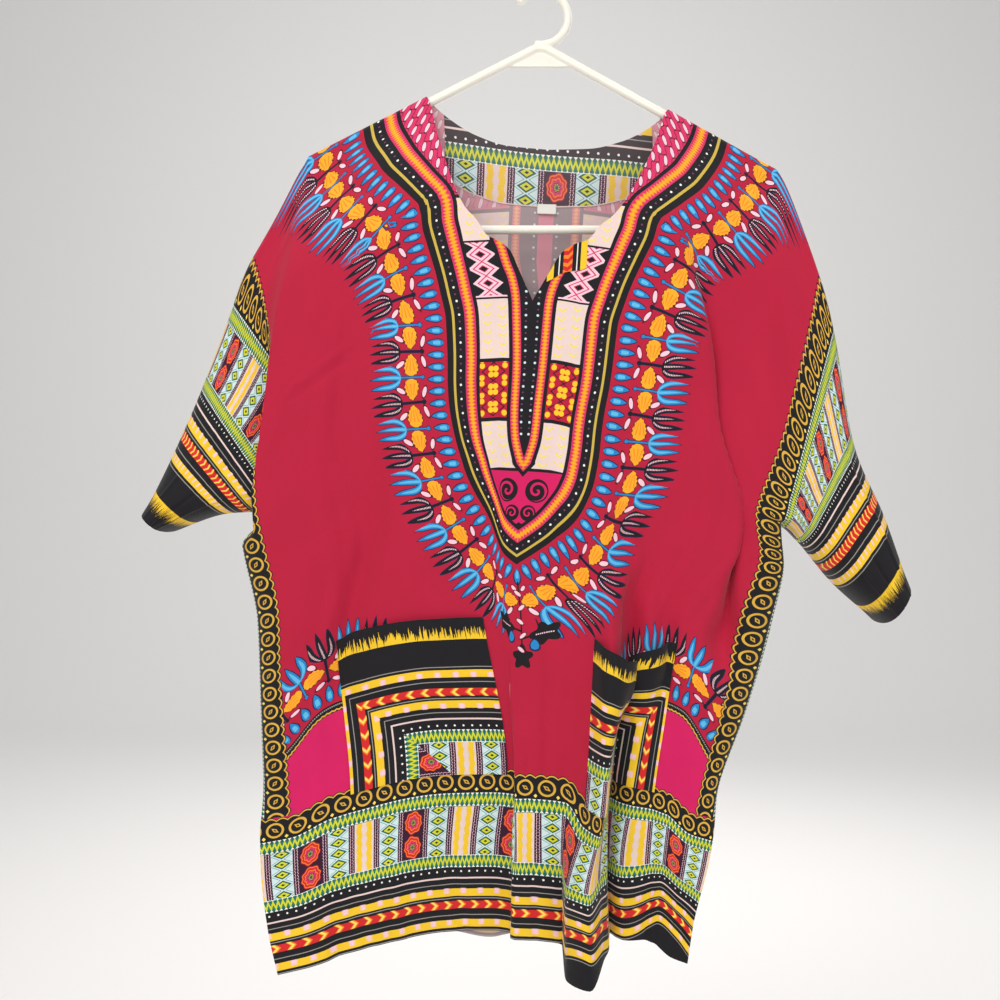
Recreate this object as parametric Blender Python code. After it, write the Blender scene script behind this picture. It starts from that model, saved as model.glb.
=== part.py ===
"""A dashiki shirt hanging on a tubular plastic hanger.

Metres, +Z up, the front of the shirt faces -Y.  The origin is the point where the hanger's hook
rests on its rail.  All sizes below are in millimetres and are turned into metres at the very end.

Each cloth panel is one sheet: a point of the flat cut has two cloth coordinates,
    c  distance from the centre line, negative towards -X,
    v  distance down the cloth from the shoulder seam,
and the functions below say where that point hangs.
"""
import math

import bmesh
import bpy
import numpy as np

MM = 0.001

# ---- the cut of the cloth (mm) ----
NECK_HALF = 115          # centre line to the neck corner on the shoulder seam
SHOULDER_END = 222       # cloth over the end of the hanger's arm
BAND_LINE = 256          # inner edge of the side border, which runs from shoulder to hem
SIDE_SEAM = 283
CUFF = 460
UNDERARM = 300           # depth of the sleeve, shoulder seam to underarm seam
VENT = 600               # where the side seam ends and the vent opens
LENGTH = 790
WALL = 1.4
SEAM_GAP = 0.3
POCKET_WALL = 1.2
POCKET_INNER, POCKET_OUTER = 57, 205
POCKET_TOP, POCKET_LOW = 491, 640
POCKET_GAPE = {-1: 2.5, 1: 13}   # how far the mouth of each pocket stands open
GAPE_REACH = 0.75        # share of the pocket's depth over which the mouth closes
FACING_DEPTH = 58
FACING_HALF = 100        # the facing stops short of the arms of the hanger
STRIP = 40               # depth of the facing turned out beside the slit
STRIP_ENDS = (11.4, 45.6)    # where it starts and ends, from the middle
LABEL_WIDTH, LABEL_HEIGHT, LABEL_WALL = 18, 9, 0.6
LABEL_CLEAR = 0.8        # from the facing it hangs on
LABEL_TUCK = 3           # how far its top reaches above the facing's lower edge

# ---- the hanger (mm) ----
TUBE = 4.25              # radius of the plastic tube
HOOK_RADIUS = 25         # centre line of the hook
HOOK_TUBE = 3.8
HOOK_END = 140           # degrees round from +X where the hook's tip is
APEX_DROP = HOOK_RADIUS - HOOK_TUBE + HOOK_RADIUS + 1.0
ARM_REACH = 208          # centre line of the arm's end, from the middle
ARM_SLOPE = {-1: 0.508, 1: 0.558}
BAR_Z = -218
END_RADIUS = 14
TOP_RADIUS = 16
BAR_INSET = 10            # the bar's corners lie this much further in than the arms' ends
WEB_DEPTH = 20
WEB_THICK = 3.0
WEB_HALF = (36, 32)       # foot of the web left and right of the middle, inside the arms

SEAM_ROLL = TUBE + SEAM_GAP + WALL / 2 + 0.4   # the shoulder seam lies round the arm
LEAVES_ARM = 60           # v by which the cloth no longer follows the arm of the hanger
FULL_STAND = 130          # v by which it stands off as far as FRONT_LINES and BACK_LINES say
NECK_CREST = 4            # the cloth is already over the arm this far inside the neck corner
SEAM_TURN = 26            # width of the turn towards a side or underarm seam
STEP_ENDS = (225, 50)     # a fold's step back dies out from this c, over this distance
ROLL_DROP = SEAM_ROLL / math.cos(math.atan(max(ARM_SLOPE.values())))   # the same, straight down

# ---- where the cloth hangs ----
# side edges of the body at several depths v: x of the left and right edge (mm)
BODY_OUTLINE = [
    # v, left, right
    (0, -276, 276),
    (186, -287, 270),
    (300, -284, 228),
    (353, -276, 227),
    (426, -263, 214),
    (521, -260, 190),
    (611, -257, 163),
    (684, -254, 152),
    (745, -246, 139),
    (790, -236, 133),
]

# height of the shoulder seam and of the hem (mm) at several distances from the centre line
HANG_HEIGHT = [
    # c, seam z, front hem z, back hem z
    (-283, -225, -892, -884),
    (-256, -215, -888, -884),
    (-222, -153, -881, -884),
    (-115, -94.5, -866, -884),
    (0, -99, -868, -882),
    (36, -100, -873, -882),
    (60, -101, -896, -882),
    (88, -104, -900, -882),
    (115, -108, -880, -882),
    (150, -120, -870, -883),
    (222, -163, -876, -884),
    (256, -215, -888, -890),
    (283, -225, -892, -893),
]

# how far each lengthwise line of the front stands forward of the hanger's plane (mm)
FRONT_LINES = [
    # name, c high, c hem, chest, underarm, waist, pocket, hem
    ("left edge", -283, -283, 26, 26, 24, 24, 46),
    ("left flank", -240, -240, 28, 29, 24, 22, 35),
    ("left valley", -150, -228, 31, 23, 14, 18, 26),
    ("left panel", -112, -150, 32, 32, 27, 24, 16),
    ("beside pocket", -84, -62, 33, 33, 29, 17, 6),
    ("lapped edge", -52, -12, 33, 33, 30, 31, 27),
    ("centre", 0, 8, 32, 32, 29, 29, 27),
    ("ridge foot", 24, 38, 32, 32, 28, 26, 25),
    ("ridge side", 46, 60, 33, 32, 31, 36, 46),
    ("ridge crest", 70, 88, 33, 32, 38, 55, 62),
    ("ridge back", 96, 122, 33, 32, 30, 30, 34),
    ("trough", 124, 156, 33, 30, 17, 4, 2),
    ("right panel", 160, 184, 31, 26, 25, 20, 18),
    ("right hollow", 196, 210, 28, 25, 24, 18, 9),
    ("right flank", 236, 240, 27, 26, 24, 20, 13),
    ("right edge", 283, 283, 25, 26, 23, 20, 20),
]
BACK_LINES = [
    ("left edge", -283, -283, 24, 24, 22, 22, 24),
    ("left fold", -215, -190, 27, 32, 36, 38, 40),
    ("left trough", -150, -135, 27, 24, 22, 20, 18),
    ("middle left", -70, -62, 28, 30, 32, 36, 40),
    ("middle", 0, 6, 28, 26, 24, 22, 20),
    ("middle right", 72, 70, 28, 30, 34, 38, 42),
    ("right trough", 146, 132, 27, 24, 22, 20, 18),
    ("right fold", 212, 196, 27, 32, 36, 36, 36),
    ("right edge", 283, 283, 24, 24, 22, 20, 22),
]
EVEN_HEM = -876           # z of the hem where the cloth does not sag
SAG_LEVELS = (250, 491)   # v between which the sagging lines drop away from the others
LINE_LEVELS = [120, 300, 450, 600, 790]
NECK_SHARE = 400          # rows bend round the neck line down to this v, and run straight below it
FOLD_START, FOLD_END = 60, 70    # a fold comes in over twice the first and goes out over the second

# where the front's lengthwise lines lie across the shirt low down, where folds hide much of the cloth (mm)
PLACE_LEVELS = [491, 640, 720, 790]
PLACE_START, PLACE_FULL = 330, 490     # v between which these places take over
FRONT_PLACES = [
    # c, x at each of the levels
    (-205, -190, -174, -173, -162),
    (-120, -111, -92, -96, -91),
    (-57, -53.5, -31, -38, -38),
    (-45, -43, -22, -27, -28),
    (-12, -13.5, -18.5, -24, -25),
    (0, -3, -8, -16, -15),
    (36, 29, 24.5, 18, 18.5),
    (60, 50.5, 40.5, 21, 21),
    (88, 65, 53, 39, 41),
    (132, 78.5, 62, 59, 60.5),
    (157, 91, 68, 62.5, 64),
    (181, 108, 84.5, 73, 73),
    (205, 125, 103, 97, 94),
    (241, 155, 128, 118, 111),
]

# where the middle of each panel hangs, and how far to each side the cloth follows it (mm)
FRONT_MIDDLE = [
    # v, x, c followed fully and c no longer followed to the left, the same to the right
    (0, 6, 100, 283, 100, 283),
    (50, 3.3, 100, 283, 100, 283),
    (100, -1, 100, 283, 100, 283),
    (138, -4.5, 100, 283, 100, 283),
    (195, -8.6, 90, 260, 100, 283),
    (250, -10.9, 60, 200, 100, 283),
    (300, -14.8, 25, 110, 100, 283),
    (350, -17, 8, 62, 95, 250),
    (400, -21, 6, 57, 75, 190),
    (440, -23, 6, 57, 42, 120),
    (491, -19, 4, 52, 4, 57),
    (540, -17.5, 4, 45, 4, 57),
    (640, -15, 4, 45, 4, 57),
    (720, -16, 4, 45, 4, 57),
    (790, -15, 4, 45, 4, 57),
]
BACK_MIDDLE = [
    (0, 6, 100, 283, 100, 283),
    (50, 8, 100, 283, 100, 283),
    (100, 6, 100, 283, 100, 283),
    (200, 0, 100, 283, 100, 283),
    (300, -20, 100, 283, 100, 283),
    (400, -25, 100, 283, 100, 283),
    (600, -43, 100, 283, 100, 283),
    (790, -51.4, 100, 283, 100, 283),
]

# folds that run aslant: where each starts and ends, how deep it is there, how much cloth it
# tucks away under its lapped edge, and how far it steps back from left to right (mm)
FRONT_FOLDS = [
    # name, c start, v start, c end, v end, depth start, depth end, tuck, step, half width
    ("right shoulder", 140, 110, 246, 440, -3, -14, 34, -9, 20),
    ("right breast", 150, 330, 196, 520, 0, -9, 6, 0, 26),
    ("left breast", -120, 270, -205, 520, 0, -8, 4, 0, 24),
    ("beside left pocket", -38, 520, -34, 830, 0, 0, 42, 0, 21),
]
BACK_FOLDS = [
    ("back left", -150, 160, -118, 620, 0, -10, 6, 0, 28),
    ("back right", 140, 160, 112, 620, 0, -10, 6, 0, 28),
]

# the sleeves: e is the distance out from the band line; where the seam over the top and the
# seam underneath hang, and how far the cloth stands off the hanger's plane between them (mm)
SLEEVES = {
    -1: [
        # e, top x, top z, bottom x, bottom z, stand
        (-34, -219, -153, -150, -392, 14),
        (0, -272, -253, -176, -418, 13),
        (27, -286, -292, -186, -430, 13),
        (95, -314, -366, -238, -478, 20),
        (150, -339, -427, -289, -481, 36),
        (204, -361, -480, -344, -498, 50),
    ],
    1: [
        (-34, 217, -162, 158, -470, 26),
        (0, 255, -272, 190, -484, 25),
        (27, 268, -312, 222, -492, 25),
        (95, 288, -418, 240, -508, 30),
        (150, 315, -484, 272, -546, 40),
        (204, 334, -545, 313, -582, 46),
    ],
}
# c where the body turns into the sleeve, at the top and at the underarm
SLEEVE_JOIN = {-1: (212, 262), 1: (205, 205)}
SLEEVE_FULL = 283                               # c from which the sleeve's own form holds
SLEEVE_ROUNDING = 0.35                          # how much the sleeve's cloth slows near its two seams
ARMPIT_FADE = {-1: 46, 1: 90}                   # how far below the underarm the sleeve's pull is felt
ARMPIT_DROP = 0.85                              # and how fast the cloth falls there

# neck line: depth below the shoulder level at several distances from the centre
FRONT_NECK = [(0, 195), (7, 181), (15, 165), (23, 150), (35, 141), (45, 137), (57, 122), (67, 113), (78, 96),
              (96, 54), (104, 31), (110, 10.5), (115, 0)]
BACK_NECK = [(0, 42), (40, 40), (70, 32), (95, 18), (108, 7), (115, 0)]


def smooth_curve(stations, values, at):
    """A smooth curve through the stations, without overshoot, flat beyond its ends."""
    stations = np.asarray(stations, float)
    values = np.asarray(values, float)
    at = np.clip(np.asarray(at, float), stations[0], stations[-1])
    rise = np.diff(values) / np.diff(stations)
    slope = np.zeros_like(values)
    same_way = rise[:-1] * rise[1:] > 0
    slope[1:-1][same_way] = (2 * rise[:-1] * rise[1:])[same_way] / (rise[:-1] + rise[1:])[same_way]
    slope[0], slope[-1] = rise[0], rise[-1]
    i = np.clip(np.searchsorted(stations, at, side="right") - 1, 0, len(stations) - 2)
    gap = stations[i + 1] - stations[i]
    t = (at - stations[i]) / gap
    return (values[i] * (1 + 2 * t) * (1 - t) ** 2 + values[i + 1] * t * t * (3 - 2 * t)
            + gap * (slope[i] * t * (1 - t) ** 2 - slope[i + 1] * t * t * (1 - t)))


def ease(t):
    t = np.clip(t, 0.0, 1.0)
    return t * t * (3 - 2 * t)


def hump(t):
    """1 at t = 0, falling smoothly to 0 at t = 1 and t = -1."""
    return np.where(np.abs(t) < 1, 0.5 + 0.5 * np.cos(np.pi * np.clip(t, -1, 1)), 0.0)


def quarter_round(t):
    t = np.clip(t, 0.0, 1.0)
    return np.sqrt(1 - (1 - t) ** 2)


def column(table, index):
    return [row[index] for row in table]


class Panel:
    """One sheet of the shirt, front (facing = -1) or back (facing = +1)."""

    def __init__(self, facing, lines, folds, neck, hem_column, middle, places=()):
        self.facing = facing
        self.places = places
        self.middle = middle
        self.lines = lines
        self.folds = folds
        self.neck = neck
        self.hem_column = hem_column
        self.fine = np.linspace(-SIDE_SEAM, SIDE_SEAM, 567)

    def neck_depth(self, c):
        return smooth_curve(column(self.neck, 0), column(self.neck, 1), np.abs(c))

    def stand(self, c, v):
        """Distance of the body's cloth from the hanger's plane on one level v."""
        high, low = LINE_LEVELS[0], LINE_LEVELS[-1]
        down = np.clip((v - high) / (low - high), 0, 1)
        places = [row[1] + (row[2] - row[1]) * down for row in self.lines]
        heights = [float(smooth_curve(LINE_LEVELS, row[3:], v)) for row in self.lines]
        out = smooth_curve(places, heights, c)
        for fold in self.folds:
            middle, strength, along = self.fold_at(fold, v)
            depth = fold[5] + (fold[6] - fold[5]) * along
            half = fold[9]
            out = out + strength * depth * hump((c - middle) / half)
            out = out + strength * fold[8] * ease((c - middle) / half / 2 + 0.5) * \
                (1 - ease((np.abs(c) - STEP_ENDS[0]) / STEP_ENDS[1]))
        return out

    def fold_at(self, fold, v):
        """Middle of a fold on level v, how strong it is there, and how far along it that is."""
        start, end = fold[2], fold[4]
        along = np.clip((v - start) / (end - start), 0, 1)
        strength = ease((v - start + FOLD_START) / FOLD_START / 2) * (1 - ease((v - end) / FOLD_END))
        return fold[1] + (fold[3] - fold[1]) * along, strength, along

    def spread(self, c, v):
        """x of the cloth on level v: what the folds take up is lost between the two edges."""
        fine = self.fine
        c = np.append(c, 0.0)
        out = self.stand(fine, v)
        slope = np.gradient(out, fine)
        rate = np.sqrt(np.clip(1 - slope ** 2, 0.04, 1))
        for fold in self.folds:
            middle, strength, along = self.fold_at(fold, v)
            rate = rate - strength * along ** 0.6 * fold[7] / fold[9] * hump((fine - middle) / fold[9])
        travelled = np.concatenate([[0], np.cumsum((rate[1:] + rate[:-1]) / 2 * np.diff(fine))])
        left = float(smooth_curve(column(BODY_OUTLINE, 0), column(BODY_OUTLINE, 1), v))
        right = float(smooth_curve(column(BODY_OUTLINE, 0), column(BODY_OUTLINE, 2), v))
        x = left + (right - left) * np.interp(c, fine, travelled) / travelled[-1]
        taken_over = float(ease((v - PLACE_START) / (PLACE_FULL - PLACE_START)))
        if self.places and taken_over > 0:
            at = [float(smooth_curve(PLACE_LEVELS, row[1:], v)) for row in self.places]
            placed = smooth_curve([-SIDE_SEAM] + column(self.places, 0) + [SIDE_SEAM], [left] + at + [right], c)
            x = x + (placed - x) * taken_over
        return self.hang_middle(x, c, v)[:-1]

    def hang_middle(self, x, c, v):
        """Bring the middle of the panel, the last of c, to its place; the cloth beside it follows."""
        levels = column(self.middle, 0)
        goal, left_full, left_end, right_full, right_end = [
            float(smooth_curve(levels, column(self.middle, k), v)) for k in range(1, 6)]
        left = 1 - ease((-c - left_full) / (left_end - left_full))
        right = 1 - ease((c - right_full) / (right_end - right_full))
        return x + (goal - x[-1]) * np.where(c < 0, left, right)

    def body_point(self, c, v):
        """The body hangs from the shoulder seam down to the hem."""
        x = self.spread(c, v)
        out = self.stand(c, v)
        out = SEAM_ROLL + (out - SEAM_ROLL) * ease(v / FULL_STAND)
        seam = smooth_curve(column(HANG_HEIGHT, 0), column(HANG_HEIGHT, 1), c)
        on_arm = -APEX_DROP - np.where(c < 0, ARM_SLOPE[-1], ARM_SLOPE[1]) * np.abs(x) + ROLL_DROP
        over_arm = (np.abs(c) >= NECK_HALF - NECK_CREST) & (np.abs(c) <= SHOULDER_END)
        seam = np.where(over_arm & (v < LEAVES_ARM), on_arm + (seam - on_arm) * ease(v / LEAVES_ARM), seam)
        hem = smooth_curve(column(HANG_HEIGHT, 0), column(HANG_HEIGHT, self.hem_column), c)
        sag = np.minimum(hem - EVEN_HEM, 0)       # what hangs lower than the rest does so further down
        begun = ease((v - SAG_LEVELS[0]) / (SAG_LEVELS[1] - SAG_LEVELS[0]))
        return x, out, seam + (hem - seam - sag * (1 - begun)) * v / LENGTH

    def sleeve_point(self, side, c, v):
        """The sleeve hangs from the hanger's end, between its two seams."""
        table = SLEEVES[side]
        e = np.abs(c) - BAND_LINE
        at = [smooth_curve(column(table, 0), column(table, k), e) for k in range(1, 6)]
        top_x, top_z, low_x, low_z, stand = at
        t = min(v / UNDERARM, 1.0)
        swing = (1 - math.cos(math.pi * t)) / 2
        across = t + (swing - t) * SLEEVE_ROUNDING
        below = max(v - UNDERARM, 0.0)
        return (top_x + (low_x - top_x) * across, stand,
                top_z + (low_z - top_z) * across - ARMPIT_DROP * below)

    def edge_round(self, c, v, fall):
        """0 on a sewn edge, 1 well inside: the sheet turns towards the other panel there."""
        reach = np.abs(c)
        e = reach - BAND_LINE
        inmost = SLEEVES[1][0][0]
        sleeve = ease((e - inmost) / (CUFF - BAND_LINE - inmost))
        top = quarter_round(fall / (ROLL_DROP + (UNDERARM / 2 - ROLL_DROP) * sleeve))
        under = UNDERARM - v
        beside = SIDE_SEAM - reach
        away = np.where(reach >= SIDE_SEAM, under,
                        np.where(v >= UNDERARM, beside,
                                 np.hypot(np.clip(beside, 0, None), np.clip(under, 0, None))))
        reach_in = SEAM_TURN + (UNDERARM / 2 - SEAM_TURN) * ease((reach - SIDE_SEAM) / (CUFF - SIDE_SEAM))
        low = quarter_round(away / reach_in)
        open_edge = ease((v - VENT) / 60)
        low = low + (1 - low) * open_edge
        return top, low

    def row(self, c, v):
        """Points of one row of the sheet: v is one depth, c many places across."""
        c = np.asarray(c, float)
        inside = np.clip(c, -SIDE_SEAM, SIDE_SEAM)
        depth = self.neck_depth(c)
        fall = depth + v * (NECK_SHARE - depth) / NECK_SHARE if v < NECK_SHARE else v + 0 * c
        x, out, z = (np.zeros(len(c)) for _ in range(3))
        for level in np.unique(fall):
            same = fall == level
            x[same], out[same], z[same] = self.body_point(inside[same], level)
        for side in (-1, 1):
            high, low = SLEEVE_JOIN[side]
            start = high + (low - high) * min(v / UNDERARM, 1)
            weight = ease((c * side - start) / (SLEEVE_FULL - start))
            weight = weight * (1 - ease((v - UNDERARM) / ARMPIT_FADE[side]))
            sleeve_x, sleeve_out, sleeve_z = self.sleeve_point(side, c, v)
            x = x + (sleeve_x - x) * weight
            out = out + (sleeve_out - out) * weight
            z = z + (sleeve_z - z) * weight
        top, low = self.edge_round(c, v, fall)
        reach = SEAM_GAP / 2 + (out - SEAM_GAP / 2) * top * low
        return np.stack([x, self.facing * reach, z], axis=1)


FRONT = Panel(-1, FRONT_LINES, FRONT_FOLDS, FRONT_NECK, 2, FRONT_MIDDLE, FRONT_PLACES)
BACK = Panel(1, BACK_LINES, BACK_FOLDS, BACK_NECK, 3, BACK_MIDDLE)


def stations(*runs):
    """Places along a line: each run is (start, end, spacing) and ends where the next starts."""
    places = []
    for start, end, spacing in runs:
        count = max(1, round((end - start) / spacing))
        places += [start + (end - start) * k / count for k in range(count)]
    return places + [runs[-1][1]]


def sheet_normals(points, keep, facing):
    """A normal at each grid point, from the cells of cloth round it, facing away from the wearer."""
    a, b = points[:-1, :-1], points[1:, :-1]
    c, d = points[1:, 1:], points[:-1, 1:]
    cell = np.cross(c - a, b - d) * np.where(keep, 1.0, 0.0)[..., None] * facing
    normals = np.zeros_like(points)
    for di in (0, 1):
        for dj in (0, 1):
            normals[di:di + keep.shape[0], dj:dj + keep.shape[1]] += cell
    length = np.linalg.norm(normals, axis=2, keepdims=True)
    return normals / np.maximum(length, 1e-9)


def wall_from_grid(name, outer, inner, keep, material):
    """A closed wall between two grids of points; keep says which cells are cloth."""
    mesh_builder = bmesh.new()
    rows, columns = keep.shape
    used = np.zeros((rows + 1, columns + 1), bool)
    for i in range(rows):
        for j in range(columns):
            if keep[i, j]:
                used[i:i + 2, j:j + 2] = True
    corner = {}
    for side, grid in (("out", outer), ("in", inner)):
        for i, j in zip(*np.nonzero(used)):
            corner[side, i, j] = mesh_builder.verts.new(grid[i, j] * MM)

    def face(*keys):
        mesh_builder.faces.new([corner[key] for key in keys])

    for i in range(rows):
        for j in range(columns):
            if not keep[i, j]:
                continue
            a, b, c, d = (i, j), (i + 1, j), (i + 1, j + 1), (i, j + 1)
            for p, q, r in ((a, b, c), (a, c, d)):    # the same diagonal on every layer
                face(("out", *p), ("out", *q), ("out", *r))
                face(("in", *r), ("in", *q), ("in", *p))
            for p, q, ni, nj in ((a, b, i, j - 1), (b, c, i + 1, j), (c, d, i, j + 1), (d, a, i - 1, j)):
                outside = not (0 <= ni < rows and 0 <= nj < columns and keep[ni, nj])
                if outside:
                    face(("out", *q), ("out", *p), ("in", *p), ("in", *q))
    bmesh.ops.recalc_face_normals(mesh_builder, faces=mesh_builder.faces)
    return finish_mesh(name, mesh_builder, material)


def plain_material(name, colour, roughness):
    material = bpy.data.materials.new(name)
    material.use_nodes = True
    shader = material.node_tree.nodes["Principled BSDF"]
    shader.inputs["Base Color"].default_value = (*colour, 1)
    shader.inputs["Roughness"].default_value = roughness
    return material


def panel_across():
    """Columns of a panel, finer at the seams and round the middle folds."""
    neck = NECK_HALF - NECK_CREST + 1
    right = stations((0, POCKET_INNER, 11.4), (POCKET_INNER, neck, 14), (neck, NECK_HALF, 1.5),
                     (NECK_HALF, POCKET_OUTER, 22.5), (POCKET_OUTER, SHOULDER_END, 17),
                     (SHOULDER_END, BAND_LINE, 11.3), (BAND_LINE, SIDE_SEAM, 9), (SIDE_SEAM, CUFF, 35))
    return np.array([-c for c in reversed(right[1:])] + right)


def panel_down():
    """Rows of a panel, finer where it rolls over the hanger and turns in at the underarm."""
    above, below = UNDERARM - 32, UNDERARM + 50
    return np.array([0, 0.8, 2.6] + stations((ROLL_DROP, STRIP, 12), (STRIP, FACING_DEPTH, 20),
                                             (FACING_DEPTH, above, 35), (above, UNDERARM, 16),
                                             (UNDERARM, below, 17), (below, POCKET_TOP, 35),
                                             (POCKET_TOP, POCKET_LOW, 30), (POCKET_LOW, LENGTH, 30)))


def cloth_cells(across, down):
    """Which cells of the grid are cloth: the T of body and sleeves."""
    reach = np.abs(across)
    middle = (reach[1:] + reach[:-1]) / 2
    centre = (down[1:] + down[:-1]) / 2
    return ~((middle[None, :] > SIDE_SEAM) & (centre[:, None] > UNDERARM))


def panel_grid(panel):
    """Rows, columns, points and normals of a whole panel."""
    across, down = panel_across(), panel_down()
    keep = cloth_cells(across, down)
    points = np.array([panel.row(across, v) for v in down])
    normals = sheet_normals(points, keep, panel.facing)
    reach = np.abs(across)
    for i, v in enumerate(down):          # a sewn edge faces the other panel squarely
        sewn = (reach >= NECK_HALF) & (v == 0)
        sewn |= (reach >= SIDE_SEAM) & (v == UNDERARM)
        sewn |= (reach == SIDE_SEAM) & (v >= UNDERARM) & (v <= VENT)
        normals[i, sewn, 1] = 0
    normals = normals / np.maximum(np.linalg.norm(normals, axis=2, keepdims=True), 1e-9)
    return across, down, points, normals, keep


def make_panel(name, grid, material):
    across, down, points, normals, keep = grid
    return wall_from_grid(name, points + normals * WALL / 2, points - normals * WALL / 2, keep, material)


def laid_on(name, grid, c_range, v_range, side, wall, material, lift=None):
    """A piece laid on a panel, made from the panel's own points: side is 1 outside, -1 inside."""
    across, down, points, normals, _ = grid
    columns = (across >= c_range[0] - 0.01) & (across <= c_range[1] + 0.01)
    rows = (down >= v_range[0] - 0.01) & (down <= v_range[1] + 0.01)
    points = points[rows][:, columns]
    normals = normals[rows][:, columns] * side
    extra = 0.0 if lift is None else lift(across[columns][None, :], down[rows][:, None])[..., None]
    near = points + normals * (WALL / 2 + SEAM_GAP + extra)
    far = near + normals * wall
    keep = np.ones((rows.sum() - 1, columns.sum() - 1), bool)
    return wall_from_grid(name, far, near, keep, material)


def make_pocket(name, grid, side, material):
    low, high = sorted((side * POCKET_INNER, side * POCKET_OUTER))
    gape = POCKET_GAPE[side]

    def lift(c, v):
        """The mouth stands away from the shirt between the pocket's two seams."""
        t = (np.abs(c) - POCKET_INNER) / (POCKET_OUTER - POCKET_INNER)
        down = (v - POCKET_TOP) / (POCKET_LOW - POCKET_TOP)
        return gape * np.sin(np.pi * t) * (1 - ease(down / GAPE_REACH))

    return laid_on(name, grid, (low, high), (POCKET_TOP, POCKET_LOW), 1, POCKET_WALL, material, lift)


def make_label(grid, material):
    """A small blank label under the facing, at the middle of the back."""
    across, down, points, normals, _ = grid
    i = int(np.argmin(np.abs(down - FACING_DEPTH)))
    j = int(np.argmin(np.abs(across)))
    point, normal = points[i, j], -normals[i, j]
    right = points[i, j + 1] - points[i, j - 1]
    right = right / np.linalg.norm(right)
    drop = np.cross(normal, right)
    drop = drop * (-1 if drop[2] > 0 else 1)
    start = point + normal * (WALL / 2 + POCKET_WALL + LABEL_CLEAR) + drop * -LABEL_TUCK
    corner = [[start + right * LABEL_WIDTH * (a - 0.5) + drop * LABEL_HEIGHT * b for a in (0, 0.5, 1)]
              for b in (0, 0.5, 1)]
    near = np.array(corner)
    return wall_from_grid("label", near + normal * LABEL_WALL, near, np.ones((2, 2), bool), material)


def rounded_path(corners, radii, closed):
    """Points along straight runs in the XZ plane whose corners are turned with the given radii."""
    path = []
    count = len(corners)
    for k, (corner, radius) in enumerate(zip(corners, radii)):
        corner = np.array(corner, float)
        if not closed and k in (0, count - 1):
            path.append(corner)
            continue
        before = np.array(corners[k - 1], float) - corner
        after = np.array(corners[(k + 1) % count], float) - corner
        before, after = before / np.linalg.norm(before), after / np.linalg.norm(after)
        half = math.acos(np.clip(before @ after, -1, 1)) / 2
        middle = (before + after) / np.linalg.norm(before + after)
        centre = corner + middle * radius / math.sin(half)
        start = corner + before * radius / math.tan(half) - centre
        end = corner + after * radius / math.tan(half) - centre
        turn = math.pi - 2 * half
        steps = max(2, round(turn / math.radians(18)))
        way = math.copysign(1, start[0] * end[1] - start[1] * end[0])
        for n in range(steps + 1):
            angle = way * turn * n / steps
            path.append(centre + np.array([start[0] * math.cos(angle) - start[1] * math.sin(angle),
                                           start[0] * math.sin(angle) + start[1] * math.cos(angle)]))
    return path


def tube(name, path, radius, closed, material, sides=10):
    """A round tube along points of the XZ plane, its ends closed."""
    builder = bmesh.new()
    rings = []
    count = len(path)
    for k, point in enumerate(path):
        ahead = path[(k + 1) % count] if closed or k < count - 1 else point
        behind = path[k - 1] if closed or k > 0 else point
        along = (ahead - behind) / np.linalg.norm(ahead - behind)
        out = np.array([-along[1], along[0]])
        ring = []
        for n in range(sides):
            angle = math.tau * n / sides
            spot = point + out * radius * math.cos(angle)
            ring.append(builder.verts.new((spot[0] * MM, radius * math.sin(angle) * MM, spot[1] * MM)))
        rings.append(ring)
    pairs = list(zip(rings, rings[1:])) + ([(rings[-1], rings[0])] if closed else [])
    for near, far in pairs:
        for n in range(sides):
            m = (n + 1) % sides
            builder.faces.new((near[n], near[m], far[m], far[n]))
    if not closed:
        builder.faces.new(rings[0][::-1])
        builder.faces.new(rings[-1])
    bmesh.ops.recalc_face_normals(builder, faces=builder.faces)
    return finish_mesh(name, builder, material)


def finish_mesh(name, builder, material, sharp=50):
    mesh = bpy.data.meshes.new(name)
    builder.to_mesh(mesh)
    builder.free()
    mesh.shade_smooth()
    mesh.set_sharp_from_angle(angle=math.radians(sharp))
    mesh.materials.append(material)
    thing = bpy.data.objects.new(name, mesh)
    bpy.context.collection.objects.link(thing)
    return thing


def arm_height(x):
    return -APEX_DROP - (ARM_SLOPE[-1] if x < 0 else ARM_SLOPE[1]) * abs(x)


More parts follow.
